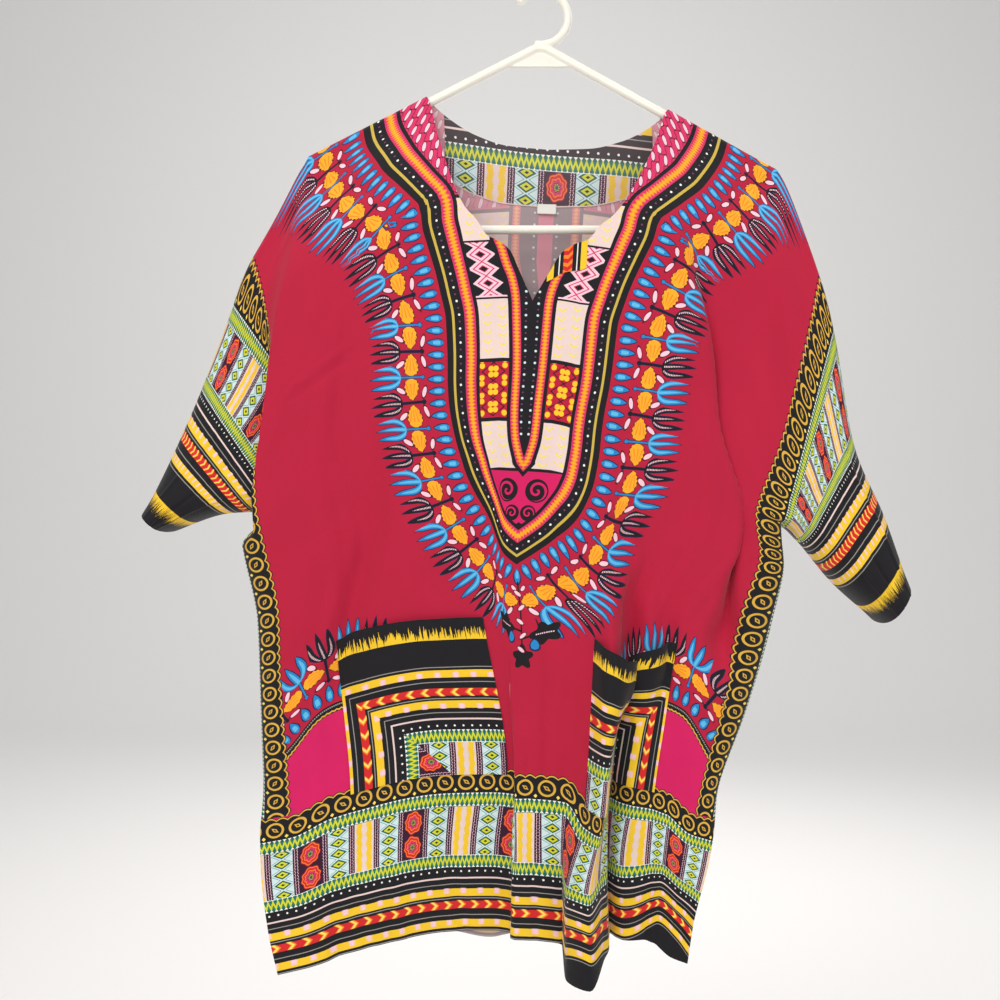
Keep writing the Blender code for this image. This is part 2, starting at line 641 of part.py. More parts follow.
def make_hanger(material):
    """One moulded piece: the triangle of tube, the hook that grows out of its top, and a web."""
    corners = [(0, arm_height(0)), (-ARM_REACH, arm_height(-ARM_REACH)), (-ARM_REACH + BAR_INSET, BAR_Z),
               (ARM_REACH - BAR_INSET, BAR_Z), (ARM_REACH, arm_height(ARM_REACH))]
    frame = tube("hanger", rounded_path(corners, [TOP_RADIUS] + [END_RADIUS] * 4, True), TUBE, True, material)
    middle = np.array([0, -(HOOK_RADIUS - HOOK_TUBE)])
    turns = [math.radians(-90 + (HOOK_END + 90) * n / 16) for n in range(17)]
    ring = [middle + HOOK_RADIUS * np.array([math.cos(a), math.sin(a)]) for a in turns]
    foot = [ring[0] + np.array([-6.0, 0.2])]     # carries the hook into the arm on its other side
    hook = tube("hook guide", foot + ring, HOOK_TUBE, False, material)
    web_builder = bmesh.new()
    low = arm_height(0) - WEB_DEPTH
    outline = [(0, arm_height(0) - 3), (-WEB_HALF[0], low), (WEB_HALF[1], low)]
    front, back = ([web_builder.verts.new((x * MM, y * WEB_THICK / 2 * MM, z * MM)) for x, z in outline]
                   for y in (-1, 1))
    web_builder.faces.new(front)
    web_builder.faces.new(back[::-1])
    for n in range(3):
        m = (n + 1) % 3
        web_builder.faces.new((front[m], front[n], back[n], back[m]))
    bmesh.ops.recalc_face_normals(web_builder, faces=web_builder.faces)
    web = finish_mesh("web guide", web_builder, material)
    for guide in (hook, web):
        guide.hide_render = True
        guide.display_type = "WIRE"
        union = frame.modifiers.new(guide.name, "BOOLEAN")
        union.operation = "UNION"
        union.object = guide
    return frame


def clear_scene():
    for thing in list(bpy.data.objects):
        bpy.data.objects.remove(thing, do_unlink=True)


def main():
    clear_scene()
    cloth = plain_material("printed cotton", (0.55, 0.02, 0.06), 0.85)
    border = plain_material("printed border", (0.03, 0.03, 0.035), 0.85)
    white_tape = plain_material("label tape", (0.85, 0.85, 0.83), 0.7)
    plastic = plain_material("ivory plastic", (0.83, 0.80, 0.72), 0.25)
    front, back = panel_grid(FRONT), panel_grid(BACK)
    make_panel("front", front, cloth)
    make_panel("back", back, cloth)
    make_pocket("pocket_left", front, -1, border)
    make_pocket("pocket_right", front, 1, border)
    laid_on("slit_facing", front, STRIP_ENDS, (0, STRIP), 1, POCKET_WALL, border)
    laid_on("neck_facing", back, (-FACING_HALF, FACING_HALF), (0, FACING_DEPTH), -1, POCKET_WALL, border)
    make_label(back, white_tape)
    make_hanger(plastic)


main()
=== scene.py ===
# dashiki shirt hanging on a tubular plastic hanger; front faces -Y, all cloth sizes in millimetres
import math

import bmesh
import bpy
import numpy as np
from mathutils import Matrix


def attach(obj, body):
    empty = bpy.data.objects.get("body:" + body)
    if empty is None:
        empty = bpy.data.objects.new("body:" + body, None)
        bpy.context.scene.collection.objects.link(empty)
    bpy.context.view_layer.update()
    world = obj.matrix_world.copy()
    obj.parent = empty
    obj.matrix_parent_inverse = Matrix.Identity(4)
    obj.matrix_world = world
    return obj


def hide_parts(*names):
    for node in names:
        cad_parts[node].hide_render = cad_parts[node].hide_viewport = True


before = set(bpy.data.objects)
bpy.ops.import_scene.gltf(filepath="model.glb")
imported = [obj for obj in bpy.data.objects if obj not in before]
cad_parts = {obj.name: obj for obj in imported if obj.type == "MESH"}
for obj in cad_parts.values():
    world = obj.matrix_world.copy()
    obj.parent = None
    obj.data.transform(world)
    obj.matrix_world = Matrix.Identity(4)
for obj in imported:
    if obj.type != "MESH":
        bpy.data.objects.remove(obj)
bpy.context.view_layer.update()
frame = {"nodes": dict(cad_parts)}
mm = 0.001
print("frame loaded:", ", ".join(frame["nodes"]))

# c is the distance across the cloth from the centre line, v the distance down from the shoulder
cut = {
    "neckHalf": 115,
    "shoulderEnd": 222,
    "bandLine": 256,
    "sideSeam": 283,
    "cuff": 460,
    "underarm": 300,
    "vent": 600,
    "length": 790,
    "thickness": 0.7,
    "frontNeck": [(0, 195), (7, 181), (15, 165), (23, 150), (35, 141), (45, 137), (57, 122), (67, 113),
                  (78, 96), (96, 54), (104, 31), (110, 10.5), (115, 0)],
    "backNeck": [(0, 42), (40, 40), (70, 32), (95, 18), (108, 7), (115, 0)],
}

hangerSizes = {
    "tube": 4.25,
    "hookRadius": 25,
    "hookTube": 3.8,
    "hookEnd": 140,
    "armReach": 208,
    "armSlope": {-1: 0.508, 1: 0.558},
    "barZ": -218,
    "endRadius": 14,
    "topRadius": 16,
    "barInset": 10,
    "webDepth": 20,
    "webThick": 3.0,
    "webHalf": (36, 32),
    "webTop": 3,
    "tipShare": 1.02,
    "hookGap": 1.0,
    "hookFoot": (-6.0, 0.2),
    "voxel": 0.9,
}
# the top of the arms, and the cloth's bend over them
apexDrop = 2 * hangerSizes["hookRadius"] - hangerSizes["hookTube"] + hangerSizes["hookGap"]
seamRoll = hangerSizes["tube"] + 2 * cut["thickness"]
rollDrop = seamRoll / math.cos(math.atan(hangerSizes["armSlope"][1]))

hang = {
    "leavesArm": 60,
    "fullStand": 130,
    "neckShare": 400,
    "neckCrest": 4,
    "seamTurn": 26,
    "stepEnds": (225, 275),
    "ventOpens": 60,
    "levels": [120, 300, 450, 600, 790],
    "foldStart": 60,
    "foldEnd": 70,
    # v, x of the left and right edge of the body
    "outline": [
        (0, -276, 276), (186, -287, 270), (300, -284, 228), (353, -276, 227), (426, -263, 214),
        (521, -260, 190), (611, -257, 163), (684, -254, 152), (745, -246, 139), (790, -236, 133),
    ],
    # c, height of the shoulder seam, of the front hem and of the back hem
    "height": [
        (-283, -225, -892, -884), (-256, -215, -888, -884), (-222, -153, -881, -884),
        (-115, -94.5, -866, -884), (0, -99, -868, -882), (36, -100, -873, -882),
        (60, -101, -896, -882), (88, -104, -900, -882), (115, -108, -880, -882),
        (150, -120, -870, -883), (222, -163, -876, -884), (256, -215, -888, -890),
        (283, -225, -892, -893),
    ],
    # c high up, c at the hem, then how far the cloth stands off at each of the levels
    "frontLines": [
        (-283, -283, 26, 26, 24, 24, 46), (-240, -240, 28, 29, 24, 22, 35),
        (-150, -228, 31, 23, 14, 18, 26), (-112, -150, 32, 32, 27, 24, 16),
        (-84, -62, 33, 33, 29, 17, 6), (-52, -12, 33, 33, 30, 31, 27), (0, 8, 32, 32, 29, 29, 27),
        (24, 38, 32, 32, 28, 26, 25), (46, 60, 33, 32, 31, 36, 46), (70, 88, 33, 32, 38, 55, 62),
        (96, 122, 33, 32, 30, 30, 34), (124, 156, 33, 30, 17, 4, 2), (160, 184, 31, 26, 25, 20, 18),
        (196, 210, 28, 25, 24, 18, 9), (236, 240, 27, 26, 24, 20, 13),
        (283, 283, 25, 26, 23, 20, 20),
    ],
    "backLines": [
        (-283, -283, 24, 24, 22, 22, 24), (-215, -190, 27, 32, 36, 38, 40),
        (-150, -135, 27, 24, 22, 20, 18), (-70, -62, 28, 30, 32, 36, 40), (0, 6, 28, 26, 24, 22, 20),
        (72, 70, 28, 30, 34, 38, 42), (146, 132, 27, 24, 22, 20, 18), (212, 196, 27, 32, 36, 36, 36),
        (283, 283, 24, 24, 22, 20, 22),
    ],
    # v and the x of the middle, c followed fully and no longer followed to the left, then to the right
    "frontMiddle": [
        (0, 6, 100, 283, 100, 283), (50, 3.3, 100, 283, 100, 283), (100, -1, 100, 283, 100, 283),
        (138, -4.5, 100, 283, 100, 283), (195, -8.6, 90, 260, 100, 283), (250, -10.9, 60, 200, 100, 283),
        (300, -14.8, 25, 110, 100, 283), (350, -17, 8, 62, 95, 250), (400, -21, 6, 57, 75, 190),
        (440, -23, 6, 57, 42, 120), (491, -19, 4, 52, 4, 57), (540, -17.5, 4, 45, 4, 57),
        (640, -15, 4, 45, 4, 57), (720, -16, 4, 45, 4, 57), (790, -15, 4, 45, 4, 57),
    ],
    "backMiddle": [(v, x, 100, 283, 100, 283) for v, x in (
        (0, 6), (50, 8), (100, 6), (200, 0), (300, -20), (400, -25), (600, -43), (790, -51.4))],
    "evenHem": -876,
    "sagLevels": (250, 491),
    # low down: c, then its x at each of the place levels
    "placeLevels": [491, 640, 720, 790],
    "placeStart": 330,
    "placeFull": 490,
    "frontPlaces": [
        (-205, -190, -174, -173, -162), (-120, -111, -92, -96, -91), (-57, -53.5, -31, -38, -38),
        (-45, -43, -22, -27, -28), (-12, -13.5, -18.5, -24, -25), (0, -3, -8, -16, -15),
        (36, 29, 24.5, 18, 18.5), (60, 50.5, 40.5, 21, 21), (88, 65, 53, 39, 41),
        (132, 78.5, 62, 59, 60.5), (157, 91, 68, 62.5, 64), (181, 108, 84.5, 73, 73),
        (205, 125, 103, 97, 94), (241, 155, 128, 118, 111),
    ],
    # c and v at the start, c and v at the end, depth there and here, tuck, step, half width
    "frontFolds": [
        (140, 110, 246, 440, -3, -14, 34, -9, 20), (150, 330, 196, 520, 0, -9, 6, 0, 26),
        (-120, 270, -205, 520, 0, -8, 4, 0, 24), (-38, 520, -34, 830, 0, 0, 42, 0, 21),
    ],
    "backFolds": [(-150, 160, -118, 620, 0, -10, 6, 0, 28), (140, 160, 112, 620, 0, -10, 6, 0, 28)],
}

sleeves = {
    "join": {-1: (212, 262), 1: (205, 205)},
    "full": 283,
    "rounding": 0.35,
    "fade": {-1: 46, 1: 90},
    "drop": 0.85,
    # distance out from the band line, top x and z, bottom x and z, how far it stands off between
    -1: [
        (-34, -219, -153, -150, -392, 14), (0, -272, -253, -176, -418, 13),
        (27, -286, -292, -186, -430, 13), (95, -314, -366, -238, -478, 20),
        (150, -339, -427, -289, -481, 36), (204, -361, -480, -344, -498, 50),
    ],
    1: [
        (-34, 217, -162, 158, -470, 26), (0, 255, -272, 190, -484, 25),
        (27, 268, -312, 222, -492, 25), (95, 288, -418, 240, -508, 30),
        (150, 315, -484, 272, -546, 40), (204, 334, -545, 313, -582, 46),
    ],
}


def smoothCurve(stations, values, at):
    stations, values, at = [np.asarray(field, float) for field in (stations, values, at)]
    at = np.clip(at, stations[0], stations[-1])
    rise = np.diff(values) / np.diff(stations)
    slope = np.zeros_like(values)
    before, after = rise[:-1], rise[1:]
    sameWay = before * after > 0
    slope[1:-1][sameWay] = (2 * before * after)[sameWay] / (before + after)[sameWay]
    slope[0], slope[-1] = rise[0], rise[-1]
    i = np.clip(np.searchsorted(stations, at, side="right") - 1, 0, len(stations) - 2)
    gap = stations[i + 1] - stations[i]
    t = (at - stations[i]) / gap
    return (values[i] * (1 + 2 * t) * (1 - t) ** 2 + values[i + 1] * t * t * (3 - 2 * t)
            + gap * (slope[i] * t * (1 - t) ** 2 - slope[i + 1] * t * t * (1 - t)))


def column(table, index):
    return [row[index] for row in table]


def follow(table, index, at, along=0):
    # one column of a table read along another
    return smoothCurve(column(table, along), column(table, index), at)


def between(start, end, share):
    return start + (end - start) * share


def ease(value, start=0, end=1):
    t = np.clip((value - start) / (end - start), 0.0, 1.0)
    return t * t * (3 - 2 * t)


def hump(t):
    return 0.5 + 0.5 * np.cos(np.pi * np.clip(t, -1, 1))


def quarterRound(t):
    return np.sqrt(1 - (1 - np.clip(t, 0.0, 1.0)) ** 2)


class Panel:
    # one sheet of the shirt: facing is -1 for the front and 1 for the back

    def __init__(self, facing, lines, folds, neck, hemColumn, middle, places=()):
        self.facing, self.lines, self.folds, self.neck = facing, lines, folds, neck
        self.hemColumn, self.middle, self.places = hemColumn, middle, places
        self.fine = np.linspace(-cut["sideSeam"], cut["sideSeam"], 2 * cut["sideSeam"] + 1)
        self.hung = np.array([self.bodyLevel(v) for v in range(cut["length"] + 1)])

    def foldAt(self, fold, v):
        along = np.clip((v - fold[1]) / (fold[3] - fold[1]), 0, 1)
        start, end = hang["foldStart"], hang["foldEnd"]
        strength = ease(v, fold[1] - start, fold[1] + start) * (1 - ease(v, fold[3], fold[3] + end))
        return between(fold[0], fold[2], along), strength, along

    def stand(self, v):
        c, levels = self.fine, hang["levels"]
        down = np.clip((v - levels[0]) / (levels[-1] - levels[0]), 0, 1)
        places = [between(row[0], row[1], down) for row in self.lines]
        out = smoothCurve(places, [float(smoothCurve(levels, row[2:], v)) for row in self.lines], c)
        fade = 1 - ease(np.abs(c), *hang["stepEnds"])
        for fold in self.folds:
            middle, strength, along = self.foldAt(fold, v)
            t = (c - middle) / fold[8]
            out = out + strength * between(fold[4], fold[5], along) * hump(t)
            out = out + strength * fold[7] * ease(t, -1, 1) * fade
        return out

    def spread(self, v, out):
        fine = self.fine
        rate = np.sqrt(np.clip(1 - np.gradient(out, fine) ** 2, 0.04, 1))
        for fold in self.folds:
            middle, strength, along = self.foldAt(fold, v)
            rate = rate - strength * along ** 0.6 * fold[6] / fold[8] * hump((fine - middle) / fold[8])
        travelled = np.concatenate([[0], np.cumsum((rate[1:] + rate[:-1]) / 2 * np.diff(fine))])
        left, right = [float(follow(hang["outline"], k, v)) for k in (1, 2)]
        x = between(left, right, travelled / travelled[-1])
        takenOver = float(ease(v, hang["placeStart"], hang["placeFull"]))
        if self.places and takenOver > 0:
            at = [float(smoothCurve(hang["placeLevels"], row[1:], v)) for row in self.places]
            side = cut["sideSeam"]
            placed = smoothCurve([-side] + column(self.places, 0) + [side], [left] + at + [right], fine)
            x = between(x, placed, takenOver)
        return x + self.middlePull(x[len(x) // 2], fine, v)

    def middlePull(self, at, c, v):
        # brings the middle of the panel to its place; the cloth beside it follows
        goal, leftFull, leftEnd, rightFull, rightEnd = [
            float(follow(self.middle, k, v)) for k in range(1, 6)]
        left, right = 1 - ease(-c, leftFull, leftEnd), 1 - ease(c, rightFull, rightEnd)
        return (goal - at) * np.where(c < 0, left, right)

    def bodyLevel(self, v):
        c = self.fine
        out = self.stand(v)
        x = self.spread(v, out)
        out = between(seamRoll, out, ease(v, 0, hang["fullStand"]))
        seam, hem = [follow(hang["height"], k, c) for k in (1, self.hemColumn)]
        slope = np.where(c < 0, hangerSizes["armSlope"][-1], hangerSizes["armSlope"][1])
        onArm = -apexDrop - slope * np.abs(x) + rollDrop
        overArm = (np.abs(c) >= cut["neckHalf"] - hang["neckCrest"]) & (np.abs(c) <= cut["shoulderEnd"])
        leaves = hang["leavesArm"]
        seam = np.where(overArm & (v < leaves), between(onArm, seam, ease(v, 0, leaves)), seam)
        sag = np.minimum(hem - hang["evenHem"], 0) * (1 - ease(v, *hang["sagLevels"]))
        return np.stack([x, out, seam + (hem - seam - sag) * v / cut["length"]])

    def bodyPoint(self, c, fall):
        # between the whole millimetres of the hung sheet
        i = np.clip(np.floor(fall).astype(int), 0, cut["length"] - 1)
        j = np.clip(np.floor(c + cut["sideSeam"]).astype(int), 0, len(self.fine) - 2)
        t, u = (fall - i)[..., None], (c + cut["sideSeam"] - j)[..., None]
        upper, lower = [between(self.hung[k, :, j], self.hung[k, :, j + 1], u) for k in (i, i + 1)]
        return np.moveaxis(between(upper, lower, t), 2, 0)

    def sleevePoint(self, side, c, v):
        e = np.abs(c) - cut["bandLine"]
        topX, topZ, lowX, lowZ, stand = [follow(sleeves[side], k, e) for k in range(1, 6)]
        t = np.minimum(v / cut["underarm"], 1.0)
        across = between(t, (1 - np.cos(math.pi * t)) / 2, sleeves["rounding"])
        below = np.maximum(v - cut["underarm"], 0.0)
        return np.stack([between(topX, lowX, across), stand,
                         between(topZ, lowZ, across) - sleeves["drop"] * below])

    def edgeRound(self, c, v, fall):
        out = np.abs(c)
        underarm, sideSeam, turn = cut["underarm"], cut["sideSeam"], hang["seamTurn"]
        inmost = sleeves[1][0][0]
        sleeve = ease(out, cut["bandLine"] + inmost, cut["cuff"])
        top = quarterRound(fall / between(rollDrop, underarm / 2, sleeve))
        under, beside = underarm - v, sideSeam - out
        corner = np.hypot(np.clip(beside, 0, None), np.clip(under, 0, None))
        away = np.where(out >= sideSeam, under, np.where(v >= underarm, beside, corner))
        low = quarterRound(away / between(turn, underarm / 2, ease(out, sideSeam, cut["cuff"])))
        return top, between(low, 1, ease(v, cut["vent"], cut["vent"] + hang["ventOpens"]))

    def surface(self, c, v):
        # c and v are grids of one shape
        depth = follow(self.neck, 1, np.abs(c))
        share = hang["neckShare"]
        fall = np.where(v < share, depth + v * (share - depth) / share, v)
        point = self.bodyPoint(np.clip(c, -cut["sideSeam"], cut["sideSeam"]), fall)
        for side in (-1, 1):
            start = between(*sleeves["join"][side], np.minimum(v / cut["underarm"], 1))
            end = cut["underarm"] + sleeves["fade"][side]
            weight = ease(c * side, start, sleeves["full"]) * (1 - ease(v, cut["underarm"], end))
            point = between(point, self.sleevePoint(side, c, v), weight)
        top, low = self.edgeRound(c, v, fall)
        return np.stack([point[0], self.facing * point[1] * top * low, point[2]], axis=2), fall


frontPanel = Panel(-1, hang["frontLines"], hang["frontFolds"], cut["frontNeck"], 2, hang["frontMiddle"],
                   hang["frontPlaces"])
backPanel = Panel(1, hang["backLines"], hang["backFolds"], cut["backNeck"], 3, hang["backMiddle"])


# the corners of a cell in turn, and the cell beyond each of its sides
ring = [(0, 0), (1, 0), (1, 1), (0, 1)]
beyond = [(0, -1), (1, 0), (0, 1), (-1, 0)]


def corners(field):
    # the four corners of every cell, as views of the field
    rows, columns = field.shape[0] - 1, field.shape[1] - 1
    return [field[i:i + rows, j:j + columns] for i, j in ring]


def unit(vectors):
    return vectors / np.maximum(np.linalg.norm(vectors, axis=-1, keepdims=True), 1e-9)


def sheetNormals(points, keep, facing):
    a, b, c, d = corners(points)
    square = np.cross(c - a, b - d) * (keep * facing)[..., None]
    normals = np.zeros_like(points)
    for corner in corners(normals):
        corner += square
    return unit(normals)


def stations(*runs):
    # start, end and spacing of each run
    places = []
    for start, end, spacing in runs:
        count = max(1, round((end - start) / spacing))
        places += [start + (end - start) * k / count for k in range(count)]
    return places + [runs[-1][1]]


# soft troughs and ridges on top of the hang: c and v at both ends, height (out is plus), half width
creases = {
    "front": [
        (-232, 236, -170, 226, 1.3, 5), (-226, 246, -176, 240, -1.4, 6), (-196, 150, -206, 520, 1.6, 13),
        (-174, 190, -182, 430, -1.6, 10), (-150, 90, -214, 30, -1.5, 9), (-172, 120, -232, 60, 1.6, 10),
        (150, 80, 214, 26, -1.4, 8), (170, 110, 226, 62, 1.4, 9), (-100, 480, -116, 420, -1.2, 10),
        (-60, 230, -66, 420, 1.0, 12), (64, 240, 70, 430, 1.0, 12), (92, 300, 120, 500, -2.2, 14),
        (0, 200, -4, 360, 0.8, 7), (-26, 330, -22, 500, -1.4, 9), (-23, 540, -23, 800, 2.2, 10),
        (18, 440, 22, 640, -1.3, 8),
        (120, 120, 150, 330, 1.6, 14), (168, 260, 182, 470, 1.5, 10), (226, 300, 206, 520, 1.4, 9),
        (-206, 420, -236, 640, 1.2, 8), (4, 620, 8, 790, -1.0, 7),
        (-212, 640, -196, 790, -1.6, 12), (-176, 660, -164, 790, 1.8, 13), (-110, 660, -96, 790, -1.6, 14),
        (120, 660, 128, 790, 1.4, 10), (176, 650, 184, 790, -1.6, 12), (214, 640, 222, 790, 1.6, 10),
        (300, 60, 450, 90, 1.6, 12), (310, 120, 450, 160, -1.4, 12), (330, 190, 452, 210, 1.2, 11),
        (-300, 90, -450, 110, 1.4, 12), (-310, 150, -452, 190, -1.4, 13), (-320, 220, -450, 240, 1.1, 10),
        (262, 270, 330, 190, -2.6, 9), (262, 292, 370, 236, 2.2, 9), (-268, 280, -330, 230, -1.6, 9),
    ],
    "back": [
        (-196, 120, -210, 560, 1.6, 14), (-120, 140, -128, 600, -1.4, 15), (-44, 160, -40, 600, 1.3, 16),
        (40, 150, 46, 620, -1.3, 15), (112, 130, 120, 590, 1.5, 15), (190, 120, 204, 560, -1.5, 13),
        (-150, 70, -214, 26, -1.3, 9), (150, 70, 214, 26, -1.3, 9), (-226, 300, -246, 500, 1.4, 9),
        (230, 320, 212, 520, 1.4, 9), (300, 60, 450, 90, 1.6, 12), (310, 130, 450, 160, -1.4, 12),
        (-300, 90, -450, 110, 1.4, 12), (-310, 160, -452, 190, -1.4, 13), (-160, 640, -150, 790, 1.4, 12),
        (-90, 640, -96, 790, -1.4, 12), (20, 640, 26, 790, 1.2, 12), (96, 650, 90, 790, -1.4, 12),
        (268, 276, 340, 200, -2.0, 9), (-268, 280, -330, 230, -1.6, 9), (-30, 60, 34, 66, -1.0, 9),
    ],
}


def creaseHeight(table, c, v):
    total = np.zeros_like(c)
    for c0, v0, c1, v1, height, half in table:
        run = math.hypot(c1 - c0, v1 - v0)
        ux, uy = (c1 - c0) / run, (v1 - v0) / run
        along = (c - c0) * ux + (v - v0) * uy
        wander = 0.35 * half * np.sin(along / 37 + c0)
        aside = (v - v0) * ux - (c - c0) * uy + wander
        begun, over = ease(along, -half, 2 * half), ease(along, run - half, run + 2 * half)
        total += height * hump(aside / half) * begun * (1 - over)
    return total


# the mesh's start, end and spacing along each run, and how far from a seam the creases begin
weft = {
    "across": [(0, 19, 1.9), (19, 57, 3.8), (57, 111, 3.8), (111, 115, 1.0), (115, 205, 3.8),
               (205, 222, 3.4), (222, 256, 3.4), (256, 283, 2.7), (283, 460, 4.4)],
    "down": [(0, 6, 0.75), (6, 18, 2.0), (18, 58, 3.1), (58, 282, 3.8), (282, 300, 1.8), (300, 330, 3.0),
             (330, 491, 3.8), (491, 640, 3.8), (640, 778, 3.8), (778, 790, 2.0)],
    "calmTop": 26,
    "calmSeam": 22,
    "calmUnder": 26,
}
# the layer inside the front's pleat is set back
pleat = {"middle": -22, "half": 13, "start": 500, "full": 570, "back": 2.8}


def panelGrid(panel, table, tuck=0):
    right = stations(*weft["across"])
    across = np.array([-c for c in reversed(right[1:])] + right)
    down = np.array(stations(*weft["down"]))
    middle = np.abs(across[1:] + across[:-1]) / 2
    centre = (down[1:] + down[:-1]) / 2
    keep = ~((middle[None, :] > cut["sideSeam"]) & (centre[:, None] > cut["underarm"]))
    c, v = np.meshgrid(across, down)
    out, sideSeam, underarm = np.abs(c), cut["sideSeam"], cut["underarm"]
    points, fall = panel.surface(c, v)
    setBack = hump((c - pleat["middle"]) / pleat["half"]) * ease(fall, pleat["start"], pleat["full"])
    points[..., 1] += tuck * setBack
    normals = sheetNormals(points, keep, panel.facing)
    sewnSide = (v >= underarm) & (v <= cut["vent"])
    beside = np.where(sewnSide, sideSeam - out, 99)
    under = np.where(out > sideSeam, underarm - v, 99)
    calm = ease(fall / weft["calmTop"]) * ease(beside / weft["calmSeam"]) * ease(under / weft["calmUnder"])
    points = points + normals * (creaseHeight(table, c, fall) * calm)[..., None]
    normals = sheetNormals(points, keep, panel.facing)
    sewn = (out >= cut["neckHalf"]) & (v == 0) | (out == sideSeam) & sewnSide
    sewn |= (out >= sideSeam) & (v == underarm)
    normals[sewn, 1] = 0
    return {"across": across, "down": down, "points": points, "normals": unit(normals), "keep": keep,
            "c": c, "fall": fall}


def put(name, data):
    thing = bpy.data.objects.new(name, data)
    bpy.context.collection.objects.link(thing)
    return thing


def clothShell(name, outer, inner, keep, marks, materials):
    # marks holds one vector field per attribute; the last material is the wrong side
    used = np.zeros(outer.shape[:2], bool)
    for corner in corners(used):
        corner |= keep
    count = int(used.sum())
    index = np.full(used.shape, -1)
    index[used] = np.arange(count)
    outFaces = np.stack([corner[keep] for corner in corners(index)], axis=1)
    rim = []
    covered = np.pad(keep, 1)
    for i, j in zip(*np.nonzero(keep)):
        for k, (di, dj) in enumerate(beyond):
            if not covered[i + 1 + di, j + 1 + dj]:
                s, e = [index[i + a, j + b] for a, b in (ring[k], ring[(k + 1) % 4])]
                rim.append((e, s, s + count, e + count))
    faces = np.concatenate([outFaces, outFaces[:, ::-1] + count, np.array(rim)])
    mesh = bpy.data.meshes.new(name)
    mesh.from_pydata((np.concatenate([outer[used], inner[used]]) * mm).tolist(), [], faces.tolist())
    for key, field in marks.items():
        layer = mesh.attributes.new(key, "FLOAT_VECTOR", "POINT")
        layer.data.foreach_set("vector", np.tile(field[used], (2, 1)).astype(np.float32).ravel())
    for material in materials:
        mesh.materials.append(material)
    slots = np.zeros(len(faces), np.int32)
    slots[len(outFaces):2 * len(outFaces)] = len(materials) - 1
    mesh.polygons.foreach_set("material_index", slots)
    builder = bmesh.new()
    builder.from_mesh(mesh)
    bmesh.ops.recalc_face_normals(builder, faces=builder.faces)
    builder.to_mesh(mesh)
    builder.free()
    mesh.shade_smooth()
    mesh.set_sharp_from_angle(angle=math.radians(50))
    return put(name, mesh)


# half width and depth of the middle of the slit's band, alike on both sides from here down
slitBand = [(19.5, 175), (15.5, 190), (14.3, 200), (12, 251), (10.5, 302), (9, 321), (5, 338), (2.4, 345),
            (0, 348), (-5.4, 354), (-12.6, 362), (-83, 440), (-400, 800)]
# half width of the printed yoke at several depths, the tip last
yoke = {
    "edge": [(177, -20), (173, 0), (168, 24), (150, 66), (130, 91), (118, 103.5), (109, 113), (105, 130),
             (97, 149), (87, 174), (81, 194), (76.5, 214), (75.5, 240), (75, 268), (73, 292), (71, 312),
             (70, 328), (68, 345), (66, 358), (60, 377), (50, 395), (35, 414), (18, 428), (0, 440)],
    "frontBand": [(38, -20), (38, 0), (36, 136), (31, 148), (25.5, 162)] + slitBand,
    "backBand": [(29, -20), (29, 0), (28.5, 130), (24, 160)] + slitBand,
    "narrows": (110, 170),
    "narrowing": 0.11,
    "archCentre": (212, 620),
    "archRadius": 71,
    "archTurn": {-1: 4.0, 1: -11.0},
}


def yokeMarks(c, fall):
    # x: distance out from the yoke's edge, y: place along it from the tip, z: turn from straight down
    rows = yoke["edge"]
    v = np.linspace(rows[0][1], rows[-1][1], 420)
    line = np.stack([follow(rows, 0, v, along=1), v], axis=1)
    start, run = line[:-1], line[1:] - line[:-1]
    length = np.linalg.norm(run, axis=1)
    square = np.arctan2(-run[:, 0], run[:, 1])
    sweep = np.concatenate([[0], np.cumsum(length)])
    place = np.stack([np.abs(c).ravel(), fall.ravel()], axis=1)
    best = np.full(len(place), 1e9)
    marks = np.zeros((len(place), 3))
    for k in range(len(run)):
        offset = place - start[k]
        t = np.clip((offset @ run[k]) / length[k] ** 2, 0, 1)
        gap = offset - t[:, None] * run[k]
        distance = np.hypot(gap[:, 0], gap[:, 1])
        side = np.sign(gap[:, 0] * run[k, 1] - gap[:, 1] * run[k, 0])
        lean = np.where(distance > 1.5, np.arctan2(gap[:, 1] * side, gap[:, 0] * side), square[k])
        fromTip = sweep[-1] - sweep[k] - t * length[k]
        found = np.stack([side * distance, fromTip, math.pi / 2 - lean], axis=1)
        nearer = distance < best - 1e-6
        best[nearer] = distance[nearer]
        marks[nearer] = found[nearer]
    marks = marks.reshape(c.shape + (3,))
    wider = 1 + yoke["narrowing"] * ease(fall, *yoke["narrows"])
    marks[..., 0] *= np.where(marks[..., 0] < 0, wider, 1)
    return marks


def archMarks(c, fall):
    # the same for the arches over the side panels
    centreC, centreV = yoke["archCentre"]
    radius, beside = yoke["archRadius"], np.abs(c) - centreC
    above = np.minimum(fall - centreV, 0)
    turn = np.arctan2(beside, -above)
    leg = np.maximum(fall - centreV, 0) * np.sign(beside)
    shift = np.where(c < 0, yoke["archTurn"][-1], yoke["archTurn"][1])
    return np.stack([np.hypot(beside, above) - radius, turn * radius + leg - shift, turn], axis=2)


def slitMarks(c, fall, band):
    # x: distance out from the middle of the slit's band
    middle = follow(band, 0, fall, along=1)
    slope = follow(band, 0, fall + 1, along=1) - middle
    out = (np.abs(c) - middle) / np.hypot(1, slope)
    return np.stack([out, 0 * out, 0 * out], axis=2)


# lowered: c, half width and how much lower the print runs at the hem
hemming = {
    "deep": 8,
    "thick": 0.35,
    "soft": 1.5,
    "lowered": [(78, 52, 24), (243, 62, 24)],
    "lowerFrom": 640,
    "lowerFull": 780,
}


